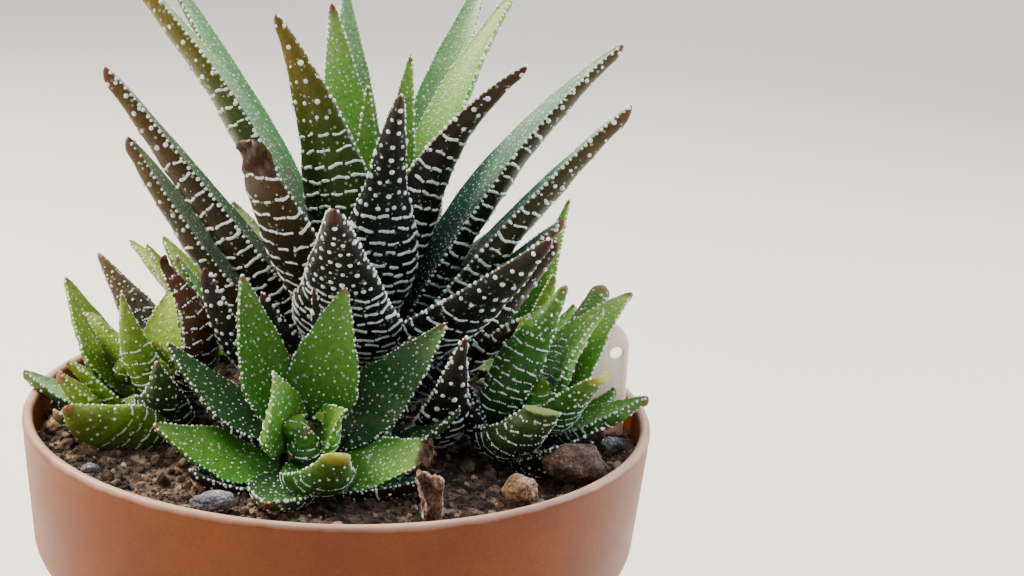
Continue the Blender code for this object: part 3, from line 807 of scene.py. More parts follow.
# ---- the rosettes
# Each look is: skin, how much wider and how much plumper than the CAD solid, tip, and then only
# where needed: roll in degrees, hook of the tip and moves in mm, pinch and narrow as shares of
# the width, and a growth of its own.
rosettes = {
    "main": {
        "slot": "dark_leaf", "growth": "main", "groups": 4,
        "looks": {
            1: ("mossSkin", 1.72, 1.2, "dry", {"roll": 38, "midMove": (3.3, 0, 0)}),
            2: ("duskSkin", 0.65, 1.1, "keen", {"roll": 25, "tipMove": (-4, 0, 3), "midMove": (0.5, 0, 0)}),
            3: ("bronzeSkin", 1.18, 1.15, "dry", {"roll": -16}),
            4: ("bronzeSkin", 1.3, 1.2, "dry", {"roll": -20}),
            5: ("umberSkin", 1.42, 1.3, "curled", {"hook": 1.5, "tipMove": (0, 0, 3.5)}),
            6: ("mossSkin", 1.08, 1.1, "keen", {"midMove": (1, 0, 0)}),
            7: ("springSkin", 1.05, 1.1, "dry"),
            8: ("springSkin", 1.05, 1.1, "keen"),
            9: ("nightSkin", 1.15, 1.25, "keen", {"growth": "frosted", "pinch": 0.3}),
            10: ("duskSkin", 0.85, 1.1, "keen"),
            11: ("springSkin", 1.1, 1.2, "keen", {"roll": -10}),
            12: ("umberSkin", 1.35, 1.2, "keen", {"pinch": 0.12}),
            13: ("seaSkin", 1.3, 1.25, "keen", {"roll": -20}),
            14: ("seaSkin", 1.25, 1.25, "keen", {"roll": 0}),
            15: ("seaSkin", 1.2, 1.15, "dry"),
            16: ("nightSkin", 1.5, 1.35, "keen", {"tipMove": (2.3, 0, 3.8)}),
            17: ("umberSkin", 1.4, 1.3, "curled", {"hook": -2, "tipMove": (0, 8, -2.3)}),
            18: ("nightSkin", 1.28, 1.35, "keen", {"growth": "frosted", "pinch": 0.12}),
            19: ("nightSkin", 1.45, 1.3, "dry", {"growth": "frosted"}),
            20: ("nightSkin", 1.25, 1.1, "keen", {"rootMove": (10, -12, -1)}),
        },
        # leaves that have no CAD solid, each with its plan before its look: facing in degrees, tip
        # x y z and bow in mm, roll, width, thickness, root height, share of the width near the tip
        "more": {
            21: ((106, -7.6, 26, 59, 1.5, 0, 10, 2.8, 12.5, 0.16), ("duskSkin", 1.0, 1.1, "keen")),
            22: ((100, -1.8, 8, 45.9, 0, 0, 5, 1.6, 18.5, 0.16), ("springSkin", 1.0, 1.0, "keen")),
            23: ((264, -4.8, -27.5, 24, -4.5, 0, 5, 1.8, 3.2, 0.16), ("nightSkin", 1.0, 1.0, "dry")),
            24: ((248, -12.5, -22, 21.3, -2.5, 0, 9, 3, 2, 0.16), ("nightSkin", 1.1, 1.1, "keen")),
            25: ((286, 8.6, -20, 15.7, -1.5, 0, 6.5, 2.4, 1.2, 0.3), ("nightSkin", 1.0, 1.0, "dry")),
            26: ((38, 21, 21, 24, 1, 0, 10, 3.6, 4.5, 0.16), ("umberSkin", 1.1, 1.2, "keen")),
            27: ((72, 9, 33, 40, 2, 0, 10.5, 3.6, 4, 0.16), ("nightSkin", 1.1, 1.2, "keen")),
            28: ((108, -13, 31, 39, 2, 0, 10.5, 3.8, 3.5, 0.16), ("mossSkin", 1.1, 1.2, "dry")),
            29: ((150, -24, 20, 24, 1, 0, 10, 3.6, 2.5, 0.16), ("mossSkin", 1.1, 1.2, "keen")),
            30: ((50, 23, 24, 24, -1, 0, 10, 3.4, 1.5, 0.16), ("nightSkin", 1.1, 1.2, "keen")),
            31: ((92, -3, 31, 22, -1, 0, 10, 3.4, 1.2, 0.16), ("umberSkin", 1.1, 1.2, "dry")),
            32: ((128, -19, 24, 19, -1, 0, 9.5, 3.4, 1, 0.16), ("nightSkin", 1.1, 1.2, "keen")),
            33: ((10, 28, 4, 25, -1, 0, 9, 3.4, 1.5, 0.16), ("umberSkin", 1.1, 1.2, "keen")),
        },
    },
    "left_pup": {
        "slot": "yellow_leaf", "growth": "pup", "groups": 1,
        "looks": {
            1: ("limeSkin", 1.35, 1.2, "keen"),
            2: ("limeSkin", 1.45, 1.2, "keen", {"roll": 170}),
            3: ("limeSkin", 1.3, 1.2, "keen"),
            4: ("limeSkin", 0.82, 1.2, "keen", {"tipMove": (1.2, 0, 1.5), "rootMove": (2.5, -3, 0)}),
            5: ("bronzeSkin", 1.2, 1.3, "keen", {"roll": 160, "midMove": (1.5, 0, 0), "rootMove": (6, 0, 0)}),
            6: ("rustSkin", 1.6, 1.3, "curled", {"hook": -1.5}),
            7: ("limeSkin", 1.2, 1.2, "keen"),
            8: ("fernSkin", 1.15, 1.3, "keen", {"roll": -40}),
            9: ("duskSkin", 1.3, 1.4, "dry"),
            10: ("limeSkin", 1.5, 1.5, "dry",
                 {"roll": 22, "tipMove": (0.8, -1, -0.5), "rootMove": (5, -4, -1)}),
        },
        "more": {
            11: ((205, -10.5, -8, 8.8, -0.5, 0, 7.5, 2.6, 1.6, 0.3), ("limeSkin", 1.1, 1.2, "dry")),
            12: ((224, -10, -12, 4.6, -1, 0, 7.5, 2.4, 0.6, 0.3), ("duskSkin", 1.1, 1.2, "dry")),
            13: ((30, 9, 7, 13, 0, 0, 7, 2.4, 2, 0.16), ("limeSkin", 1.1, 1.2, "keen")),
            14: ((128, -10, 13, 9, -1, 0, 7.5, 2.4, 0.8, 0.16), ("limeSkin", 1.1, 1.2, "keen")),
            15: ((80, 2, 14, 9, -1, 0, 7.5, 2.4, 0.8, 0.16), ("limeSkin", 1.1, 1.2, "keen")),
        },
    },
    "back_pup": {
        "slot": "yellow_leaf", "growth": "pup", "groups": 1,
        "looks": {1: ("limeSkin", 1.2, 1.2, "keen")},
        "more": {
            2: ((172, -16.3, 4, 17.5, 0, 0, 7, 2.2, 3.2, 0.16), ("limeSkin", 1.1, 1.2, "keen")),
            3: ((150, -14.1, 6, 18.5, 0.5, 0, 7, 2.2, 4, 0.16), ("limeSkin", 1.1, 1.2, "keen")),
            4: ((185, -10.2, -2, 17.5, 0.5, 0, 7, 2.2, 4.2, 0.16), ("brightSkin", 1.1, 1.2, "keen")),
            5: ((120, -8, 13, 16, 0, 0, 7.5, 2.4, 2, 0.16), ("limeSkin", 1.1, 1.2, "keen")),
            6: ((70, 3, 13, 15, 0, 0, 7.5, 2.4, 2, 0.16), ("brightSkin", 1.1, 1.2, "keen")),
            7: ((95, -2, 15, 8, -1, 0, 8, 2.4, 0.8, 0.16), ("limeSkin", 1.1, 1.2, "keen")),
            8: ((145, -13, 10, 7, -1, 0, 8, 2.4, 0.8, 0.16), ("limeSkin", 1.1, 1.2, "dry")),
            9: ((100, -2, 4, 15, 0, 0, 5, 1.8, 5, 0.16), ("limeSkin", 1.1, 1.2, "keen")),
        },
    },
    "front_pup": {
        "slot": "green_leaf", "growth": "pup", "groups": 1,
        "looks": {
            1: ("brightSkin", 1.05, 1.2, "keen"),
            2: ("brightSkin", 1.12, 1.2, "keen"),
            3: ("fernSkin", 1.05, 1.2, "keen"),
            4: ("brightSkin", 1.12, 1.3, "keen"),
            5: ("brightSkin", 1.12, 1.3, "curled", {"hook": -1}),
            6: ("springSkin", 1.7, 1.4, "keen", {"roll": -66, "narrow": 0.75, "rootMove": (0, -2, -2)}),
            7: ("springSkin", 1.45, 1.4, "keen", {"roll": 62, "narrow": 0.75}),
            8: ("brightSkin", 1.15, 1.9, "blunt", {"narrow": 0.42}),
            9: ("fernSkin", 1.1, 1.3, "dry", {"tipMove": (1.6, -1, -0.2)}),
            10: ("fernSkin", 1.2, 1.2, "keen"),
        },
        "more": {
            11: ((280, 0.6, -5, 8.2, 0.6, 0, 4.6, 2.2, 3, 0.16), ("brightSkin", 1.0, 1.3, "keen")),
            12: ((320, 17.6, -8, 3.5, -1, 0, 8.5, 2.4, 0.8, 0.16), ("nightSkin", 1.1, 1.2, "keen")),
            13: ((205, -14, -8, 2.4, -1, 0, 8.5, 2.2, 0.4, 0.16), ("nightSkin", 1.1, 1.2, "keen")),
            14: ((95, -1, 12, 15, 0, 0, 8.5, 2.2, 2.4, 0.16), ("brightSkin", 1.1, 1.2, "keen")),
            15: ((25, 12, 4, 9, -1, 0, 8.5, 2.2, 1.2, 0.16), ("brightSkin", 1.1, 1.2, "keen")),
            16: ((12, 20.5, 5, 9, -1.5, 0, 8, 2.2, 1.5, 0.16), ("fernSkin", 1.1, 1.2, "keen")),
        },
    },
    "right_pup": {
        "slot": "green_leaf", "growth": "pup", "groups": 1,
        "looks": {
            1: ("brightSkin", 1.22, 1.3, "keen", {"rootMove": (-3, -1.5, 0)}),
            2: ("springSkin", 1.3, 1.2, "keen"),
            3: ("springSkin", 1.25, 1.2, "dry"),
            4: ("brightSkin", 1.2, 1.4, "blunt"),
            5: ("brightSkin", 1.25, 1.4, "dry"),
            6: ("nightSkin", 1.3, 1.4, "keen", {"tipMove": (0, -1, 1.5), "rootMove": (0, -2.5, 1)}),
            7: ("fernSkin", 0.9, 1.5, "cut", {"tipMove": (4, -1.5, 0), "rootMove": (-3.5, -1, 3.2)}),
        },
        "more": {
            8: ((170, -0.5, 2, 19, 0, 0, 6, 2.2, 4.5, 0.16), ("springSkin", 1.1, 1.2, "keen")),
            9: ((250, 10.5, 16, 20.2, 1, 0, 5.5, 2.4, 3.5, 0.5), ("brightSkin", 1.1, 1.3, "dry")),
            10: ((285, 4, -13, 5, -1.5, 0, 8, 2.4, 0.6, 0.16), ("nightSkin", 1.1, 1.2, "keen")),
            11: ((105, -3, 13, 12, 0, 0, 8, 2.4, 2, 0.16), ("brightSkin", 1.1, 1.2, "keen")),
            12: ((20, 12.5, 5, 8, -1, 0, 7.5, 2.2, 1, 0.16), ("brightSkin", 1.1, 1.2, "keen")),
            13: ((80, 3, 14, 8, -1, 0, 8, 2.4, 1, 0.16), ("brightSkin", 1.1, 1.2, "dry")),
            14: ((300, 1.5, -2.5, 12, 0.5, 0, 4.5, 1.8, 5, 0.16), ("springSkin", 1.1, 1.2, "keen")),
            # leaf 15 is near black: painted shade laid over a gap of deep shadow under the pup
            15: ((205, -9, -6, 10.5, -1, 0, 8, 2.4, 1, 0.16), ("nightSkin", 1.1, 1.3, "keen")),
            16: ((190, -9.5, -1, 13, -1, 0, 7.5, 2.4, 2, 0.16), ("nightSkin", 1.1, 1.3, "keen")),
        },
    },
    "far_pup": {
        "slot": "green_leaf", "growth": "pup", "groups": 1,
        "looks": {1: ("springSkin", 1.1, 1.1, "keen")},
        "more": {
            2: ((330, 6, 0, 18, 0.5, 0, 6.5, 2.2, 3, 0.16), ("springSkin", 1.1, 1.2, "keen")),
            3: ((150, -7, 6, 17, 0, 0, 7, 2.2, 3, 0.16), ("brightSkin", 1.1, 1.2, "keen")),
            4: ((100, -2, 11, 18, 0, 0, 7.5, 2.4, 2.5, 0.16), ("brightSkin", 1.1, 1.2, "keen")),
            5: ((40, 10, 8, 11, -1, 0, 7.5, 2.4, 1, 0.16), ("brightSkin", 1.1, 1.2, "keen")),
            6: ((80, 2, 13, 8, -1, 0, 8, 2.4, 0.8, 0.16), ("brightSkin", 1.1, 1.2, "dry")),
            7: ((120, -8, 9, 7, -1, 0, 7.5, 2.4, 0.8, 0.16), ("springSkin", 1.1, 1.2, "keen")),
            8: ((5, 11, 1, 8, -1, 0, 7.5, 2.4, 0.8, 0.16), ("brightSkin", 1.1, 1.2, "keen")),
        },
    },
}
# young leaves that close over the stem: how many, first facing in degrees, height of the tips
# above the stem, width and thickness in mm, skin
hearts = {
    "main": (5, 30, 8, 7, 2.4, "springSkin"),
    "left_pup": (3, 70, 4, 4.4, 1.6, "limeSkin"),
    "front_pup": (3, 250, 0.8, 4.2, 1.6, "springSkin"),
    "right_pup": (3, 100, 4.5, 4.4, 1.6, "brightSkin"),
}
stemlessPlaces = {"back_pup": (-19, 26), "far_pup": (24, 25)}  # mm from the pot's axis
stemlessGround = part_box("left_pup_stem")[0].z


def rosetteBase(name):
    # middle of the rosette at ground height, and its stem's radius in mm
    if name in stemlessPlaces:
        x, y = stemlessPlaces[name]
        return Vector((x * mm, y * mm, stemlessGround)), 1.8
    low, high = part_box(name + "_stem")
    return Vector(((low.x + high.x) / 2, (low.y + high.y) / 2, low.z)), (high.x - low.x) / 2 / mm


def heartLeaves(name, stemRadius):
    # numbered from 41 up, each arching in over the end of the stem
    count, first, rise, width, thick, skin = hearts[name]
    low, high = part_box(name + "_stem")
    top = (high.z - low.z) / mm
    leaves = {}
    for k in range(count):
        facing = first + 360 * k / count
        out = 0.25 * stemRadius * (1 + k % 2)
        tipX, tipY = out * math.cos(math.radians(facing)), out * math.sin(math.radians(facing))
        tipZ = top + rise * (1 - 0.12 * k)
        leaves[41 + k] = ((facing, tipX, tipY, tipZ, -0.6, 0, width, thick, top - 1.5, 0.16),
                          (skin, 1.0, 1.2, "keen"))
    return leaves


def growRosette(name, plan, order):
    base, stemRadius = rosetteBase(name)
    rng = np.random.default_rng(40 + order)
    growth = growths[plan["growth"]]
    groups = [Warts() for _ in range(plan["groups"])]
    leaves = [(number, spineOfNode(cadNodes["%s_leaf_%02d" % (name, number)]), look, True)
              for number, look in plan["looks"].items()]
    young = heartLeaves(name, stemRadius) if name in hearts else {}
    leaves += [(number, spineOfPlan(base, stemRadius, shape), look, False)
               for number, (shape, look) in {**plan["more"], **young}.items()]
    for number, spine, look, inCad in leaves:
        skin, widen, plump, tip = look[:4]
        own = look[4] if len(look) > 4 else {}
        spine.update(
            widen=widen, plump=plump * leafGrid["plump"], tip=tip, seed=1.7 * number + 10 * order)
        for field in ("hook", "roll", "pinch", "narrow"):
            spine[field] = own.get(field, 0)
        for move in ("tipMove", "midMove", "rootMove"):
            spine[move] = np.array(own.get(move, (0, 0, 0)), float)
        leafName = "%s_leaf_%02d" % (name, number)
        finishPiece(leafPiece(leafName + "_flesh", spine, skin), [leafName] if inCad else [])
        warts = groups[number % len(groups)]
        bandWarts(warts, spine, growths[own.get("growth", plan["growth"])], rng)
        marginTeeth(warts, spine, growth, rng)
        innerDots(warts, spine, growth, rng)
    for k, warts in enumerate(groups):
        label = "%s_tubercles" % name if len(groups) == 1 else "%s_tubercles_%d" % (name, k + 1)
        wartPiece(label, warts, 10 * order + k)


for order, (name, plan) in enumerate(rosettes.items()):
    growRosette(name, plan, order)
    print(name, "grown")


# ---- pot
# Injection-moulded polypropylene in a terracotta colour: softly glossy, a little see-through
# at the thin rim, with fine moulding speckle, and a pale lip: a painted highlight of the rim top mixed with
# lime bloom.
pot = {
    "baseRadius": 30, "baseEdge": 1.2,
    "bodyTop": (40.2, 58), "collarFoot": (43.7, 63.4),  # radius and height, mm
    "wall": 1.3, "floor": 1.8, "lip": 0.75,  # lip: radius of the rounded rim
    "sides": 176, "drainHoles": 5, "drainRadius": 3, "drainRing": 19, "drainReach": 4, "drainSides": 32,
    "sharpFrom": 40,  # degrees
}


def arcPoints(centre, radii, start, end, count):
    return [(centre[0] + radii[0] * math.cos(math.radians(start + (end - start) * i / count)),
             centre[1] + radii[1] * math.sin(math.radians(start + (end - start) * i / count)))
            for i in range(count + 1)]


def straight(first, last, count):
    return [tuple(f + (l - f) * i / count for f, l in zip(first, last)) for i in range(1, count)]


def potProfile():
    # outside from the base up, over the rim, and down the inside to the floor
    rim, top, wall, lip = rimRadius / mm, rimHeight / mm, pot["wall"], pot["lip"]
    base, edge, floor = pot["baseRadius"], pot["baseEdge"], pot["floor"]
    bodyR, bodyZ = pot["bodyTop"]
    footR, footZ = pot["collarFoot"]
    flare = (footR - bodyR, footZ - bodyZ - 0.4)
    outside = arcPoints((base - edge, edge), (edge, edge), -90, 0, 5)
    outside += straight((base, edge), (bodyR, bodyZ), 24) + [(bodyR, bodyZ)]
    outside += arcPoints((bodyR, footZ), flare, -84, 0, 12)
    outside += straight((footR, footZ), (rim - 0.05, top - lip - 1.1), 10)
    outside += [(rim - 0.12, top - lip - 0.9), (rim, top - lip - 0.35)]
    outside += arcPoints((rim - lip, top - lip), (lip, lip), 0, 180, 14)
    inside = [(rim - 2 * lip - 0.02, top - lip - 0.5)]
    inside += straight((rim - 2 * lip, top - lip - 0.6), (footR - wall, footZ), 10) + [(footR - wall, footZ)]
    inside += arcPoints((bodyR - wall, footZ), flare, 0, -84, 8)
    inside += straight((bodyR - wall, bodyZ), (base - wall + 0.3, floor + 1), 20)
    inside += arcPoints((base - wall - 0.7, floor + 1), (1, 1), 0, -90, 5)
    return outside + inside


def turned(name, profile, sides, material):
    # a closed shape turned about the pot's axis; both ends of the profile close on the axis
    points = [point for r, z in profile for point in ringPoints(r * mm, z * mm, sides)]
    faces = []
    for k in range(len(profile) - 1):
        low, high = k * sides, (k + 1) * sides
        faces += [(low + i, low + (i + 1) % sides, high + (i + 1) % sides, high + i) for i in range(sides)]
    first, last = len(points), len(points) + 1
    points += [(0, 0, profile[0][1] * mm), (0, 0, profile[-1][1] * mm)]
    end = (len(profile) - 1) * sides
    faces += [((i + 1) % sides, i, first) for i in range(sides)]
    faces += [(end + i, end + (i + 1) % sides, last) for i in range(sides)]
    return faceOutward(meshPiece(name, points, faces, material))


def plasticPot():
    made, tree, shader, body = newMaterial("terracottaPolypropylene", {
        "IOR": 1.45, "Specular IOR Level": 0.26,
        "Subsurface Weight": 0.2, "Subsurface Scale": 0.0025, "Subsurface Radius": (1, 0.35, 0.15),
    })
    cloud = noiseOf(tree, body, 70, 4, 0.6)  # 14 mm
    colour = mixColours(tree, remapped(tree, cloud, 0.35, 0.68), "#6A300A", "#7C3E0E")
    speck = noiseOf(tree, body, 2600, 2)  # 0.4 mm speckle
    colour = mixColours(tree, remapped(tree, speck, 0.58, 0.75, 0, 0.2), colour, "#9C5E30")
    colour = mixColours(tree, remapped(tree, speck, 0.42, 0.3, 0, 0.3), colour, "#4E240A")
    # pale lip: a painted highlight along the top of the rim, mixed with a little lime bloom
    place = addNode(tree, "ShaderNodeSeparateXYZ", {"Vector": body}).outputs
    bloomAndHighlightEdge = maths(tree, "MULTIPLY_ADD", cloud, 0.0014, place["Z"])
    bloomAndHighlight = remapped(tree, bloomAndHighlightEdge, rimHeight - 0.0001, rimHeight + 0.0007, 0, 0.5)
    dress(tree, shader, mixColours(tree, bloomAndHighlight, colour, "#EBCDB8"), speck, 0.25, 0.08)
    tree.links.new(remapped(tree, cloud, 0.3, 0.7, 0.36, 0.5), shader.inputs["Roughness"])
    return made


def buildPot():
    shell = turned("pot_shell", potProfile(), pot["sides"], plasticPot())
    up = Vector((0, 0, pot["drainReach"] * mm))
    sides = pot["drainSides"]
    cutters = []
    for k in range(pot["drainHoles"]):
        turn = 2 * math.pi * k / pot["drainHoles"]
        centre = Vector((math.cos(turn), math.sin(turn), 0)) * pot["drainRing"] * mm
        ring = [centre + Vector((math.cos(a), math.sin(a), 0)) * pot["drainRadius"] * mm
                for a in np.linspace(0, 2 * math.pi, sides + 1)[:-1]]
        faces = [tuple(range(sides))[::-1], tuple(range(sides, 2 * sides))]
        faces += [(i, (i + 1) % sides, sides + (i + 1) % sides, sides + i) for i in range(sides)]
        points = [p - up for p in ring] + [p + up for p in ring]
        cutters.append(meshPiece("drain%d" % k, points, faces, shell.data.materials[0]))
        shell.modifiers.new("drain", "BOOLEAN").object = cutters[-1]
    mesh = finalMesh(shell)
    shell.modifiers.clear()
    shell.data = mesh
    for cutter in cutters:
        bpy.data.objects.remove(cutter)
    mesh.shade_smooth()
    mesh.set_sharp_from_angle(angle=math.radians(pot["sharpFrom"]))
    finishPiece(shell, ["pot"])


buildPot()
print("pot turned")


# ---- soil
# Peat-based potting mix: dark fibrous crumbs with pale sand and a few grains of grit.
soil = {
    "edge": 75, "crown": 1.2, "edgeRadius": 43.1,  # mm, as all sizes here
    "shoulder": (38.8, 58.5), "footRadius": 27.9,  # shoulder: radius and height
    "rings": 96, "sides": 280,
    "lumps": ((6.0, 0.5), (2.4, 0.42), (1.0, 0.3), (0.5, 0.16)),  # size and height of each layer
    # name: grains per square metre, least and most size, facet level, slot, seed
    "grains": {
        "soil_dust": (1300000, 0.4, 1.0, 1, "potting_soil", 15),
        "soil_crumbs": (330000, 0.8, 1.9, 2, "potting_soil", 11),
        "soil_clods": (30000, 1.7, 3.3, 2, "potting_soil", 12),
        "sand_grit": (70000, 0.4, 1.5, 2, "tan_stone", 13),
        "stone_grit": (20000, 0.8, 2.3, 2, "grey_stone", 14),
    },
}


def soilHeight(x, y):
    # height in mm over the point x, y in mm
    reach = math.hypot(x, y) / soil["edgeRadius"]
    height = soil["edge"] + soil["crown"] * (1 - reach * reach)
    for size, tall in soil["lumps"]:
        height += tall * noise.noise(Vector((x, y, 31.7 * size)) / size)
    return height


def earthMaterial(name, hexes, patch, speckle):
    # matt mineral or plant crumb: soft patches of the given size in mm under a fine speckle
    made, tree, shader, body = newMaterial(name, {"Roughness": 0.9, "IOR": 1.5})
    patches = noiseOf(tree, body, 1000 / patch, 4, 0.7)
    cell = addNode(tree, "ShaderNodeSeparateColor", {"Color": cellsOf(tree, body, 1000 / speckle)["Color"]})
    tone = maths(tree, "MULTIPLY_ADD", cell.outputs["Red"], 0.35, patches)
    dress(tree, shader, rampOf(tree, tone, (0.42, 0.62, 0.8, 0.95), hexes), tone, 0.7, 0.2)
    return made


def gritTree():
    tree = bpy.data.node_groups.new("grit", "GeometryNodeTree")
    given = interfaceOf(tree, (
        ("Geometry", "Geometry", None), ("Density", "Float", 100000.0), ("Least Size", "Float", 0.0004),
        ("Most Size", "Float", 0.0015), ("Lumpiness", "Float", 0.55), ("Facets", "Int", 2),
        ("Seed", "Int", 1), ("Material", "Material", None),
    ))
    seed = given["Seed"]
    up = addNode(tree, "ShaderNodeSeparateXYZ", {
        "Vector": addNode(tree, "GeometryNodeInputNormal").outputs[0]})
    top = addNode(tree, "FunctionNodeCompare", {"A": up.outputs["Z"], "B": 0.3},
                  data_type="FLOAT", operation="GREATER_THAN")
    spots = addNode(tree, "GeometryNodeDistributePointsOnFaces", {
        "Mesh": given["Geometry"], "Selection": top.outputs[0], "Density": given["Density"], "Seed": seed},
        distribute_method="RANDOM")
    grain = addNode(tree, "GeometryNodeMeshIcoSphere", {"Radius": 0.5, "Subdivisions": given["Facets"]})
    rough = addNode(tree, "ShaderNodeTexNoise", {"Scale": 2.3, "Detail": 2})
    shift = addNode(tree, "ShaderNodeVectorMath", {0: rough.outputs["Color"], 1: (0.5, 0.5, 0.5)},
                    operation="SUBTRACT")
    shift = addNode(tree, "ShaderNodeVectorMath", {0: shift.outputs[0], "Scale": given["Lumpiness"]},
                    operation="SCALE")
    grain = addNode(tree, "GeometryNodeSetPosition", {
        "Geometry": grain.outputs["Mesh"], "Offset": shift.outputs[0]})
    turn = randomOf(tree, (0, 0, 0), (6.283, 6.283, 6.283), seed)
    size = randomOf(tree, given["Least Size"], given["Most Size"], seed)
    build = randomOf(tree, (0.55, 0.5, 0.4), (1.2, 1.0, 0.85), seed)
    scale = addNode(tree, "ShaderNodeVectorMath", {0: build, "Scale": size}, operation="SCALE")
    return scatter(tree, spots.outputs["Points"], grain.outputs[0], turn, scale.outputs[0], given["Material"])


def buildSoil():
    peat = earthMaterial("peatCrumb", ("#140F0C", "#33261F", "#5E4A3B", "#A18A74"), 3.4, 1.1)
    grit = {
        "tan_stone": earthMaterial("sandGrain", ("#5E4A3A", "#8C725A", "#B0957A", "#DCCDB8"), 3.0, 0.9),
        "grey_stone": earthMaterial("greyGrit", ("#4A4442", "#726A66", "#9A918B", "#C9C1BA"), 3.0, 0.9),
    }
    sides, rings = soil["sides"], soil["rings"]
    points = [(0, 0, soilHeight(0, 0))]
    for ring in range(1, rings + 1):
        r = soil["edgeRadius"] * (ring / rings)
        for i in range(sides):
            a = 2 * math.pi * (i + 0.5 * (len(points) % 2)) / sides
            x, y = r * math.cos(a), r * math.sin(a)
            points.append((x, y, soilHeight(x, y)))
    points += ringPoints(*soil["shoulder"], sides) + ringPoints(soil["footRadius"], soilFoot / mm, sides)
    points.append((0, 0, soilFoot / mm))
    faces = [(0, 1 + i, 1 + (i + 1) % sides) for i in range(sides)]
    for k in range(rings + 1):
        a, b = 1 + k * sides, 1 + (k + 1) * sides
        faces += [(a + i, b + i, b + (i + 1) % sides, a + (i + 1) % sides) for i in range(sides)]
    end = 1 + (rings + 1) * sides
    faces += [(end + (i + 1) % sides, end + i, len(points) - 1) for i in range(sides)]
    bed = faceOutward(meshPiece("soil_bed", [tuple(c * mm for c in p) for p in points], faces, peat))
    tree = gritTree()
    for name, (density, least, most, facets, slot, seed) in soil["grains"].items():
        grains = grown(newObject(name, bed.data.copy()), tree, {
            "Density": density, "Least Size": least * mm, "Most Size": most * mm, "Facets": facets,
            "Seed": seed, "Material": grit.get(slot, peat)})
        finishPiece(grains)
    finishPiece(bed, ["soil"])


buildSoil()
print("soil filled")


# ---- stones and bark on the soil
# place x, y in mm, half sizes, turn in degrees, material and slot; a stone with no place
# stands where the CAD solid of its name is, and replaces it
stones = {
    "rock_right": (None, (4.3, 3.5, 2.6), 20, "ironstone", "brown_stone"),
    "stone_front_right": (None, (2.3, 2.0, 1.9), 10, "sandstone", "tan_stone"),
    "stone_front_left": (None, (2.7, 1.5, 1.2), 15, "slate", "grey_stone"),
    "pebble_right": ((39.6, -0.6), (1.9, 1.5, 1.3), 40, "slate", "grey_stone"),
    "stone_back_left": ((-39, 13), (2.2, 1.7, 1.5), 70, "sandstone", "tan_stone"),
    "stone_left": ((-40, -6), (1.8, 2.2, 1.4), 10, "sandstone", "tan_stone"),
    "chip_left": ((-34, -14), (2.0, 1.2, 1.1), 35, "sandstone", "tan_stone"),
    "chip_front": ((-13.5, -29.5), (2.2, 0.9, 0.8), 20, "bark", "dry_bark"),
    "pebble_left": ((-31.5, -21), (1.2, 0.9, 0.8), 15, "slate", "grey_stone"),
    "pebble_front": ((3.5, -36), (1.3, 1.0, 0.8), 60, "sandstone", "tan_stone"),
    "stone_right": ((20.5, -30), (1.6, 1.2, 1.0), 0, "ironstone", "brown_stone"),
}
stoneColours = {  # weathered stone and bark: matt, with grain in several sizes
    "ironstone": ("#2C211C", "#46352C", "#644E41", "#8C7462"),
    "sandstone": ("#5E4632", "#85684A", "#A98A68", "#CDB596"),
    "slate": ("#45444A", "#66656E", "#8C8A92", "#BDBABC"),
    "bark": ("#4A3222", "#75533A", "#9A7656", "#C4A384"),
}
stoneSink = 0.45  # share of its half height at which a stone's middle lies over the soil


def middleOf(node):
    low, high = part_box(node)
    return (low + high) / 2


def buildStones():
    made = {name: earthMaterial(name, hexes, 2.2, 0.3) for name, hexes in stoneColours.items()}
    for order, (name, (place, half, turn, kind, slot)) in enumerate(stones.items()):
        shape = bmesh.new()
        bmesh.ops.create_icosphere(shape, subdivisions=5, radius=1)
        spin = Quaternion((0, 0, 1), math.radians(turn))
        centre = Vector((*place, soilHeight(*place) + stoneSink * half[2])) * mm if place else middleOf(name)
        for vert in shape.verts:
            way = vert.co.normalized()
            swell = 1 + 0.2 * noise.noise(way * 1.4 + Vector((order * 9, 0, 0)))
            swell += 0.09 * noise.noise(way * 3.5 + Vector((0, order * 7, 0))) + 0.03 * noise.noise(way * 11)
            if kind == "bark":
                swell += 0.12 * math.sin(way.z * 9 + 3 * noise.noise(way * 2))
            vert.co = centre + spin @ Vector([w * h * swell * mm for w, h in zip(way, half)])
        mesh = bpy.data.meshes.new(name)
        shape.to_mesh(mesh)
        shape.free()
        mesh.materials.append(made[kind])
        mesh.shade_smooth()
        if place:
            finishPiece(newObject(name, mesh))
        else:
            finishPiece(newObject(name + "_weathered", mesh), [name])


# A dry bark flake, papery and pale
bark = {
    "half": (1.6, 1.4, 3.0), "thick": 0.35,  # mm
    "turn": 28, "lean": -8,  # degrees
    "across": 22, "up": 34,
    "colours": ("#4E3C30", "#806654", "#AA907A", "#DCC8B4"),
}


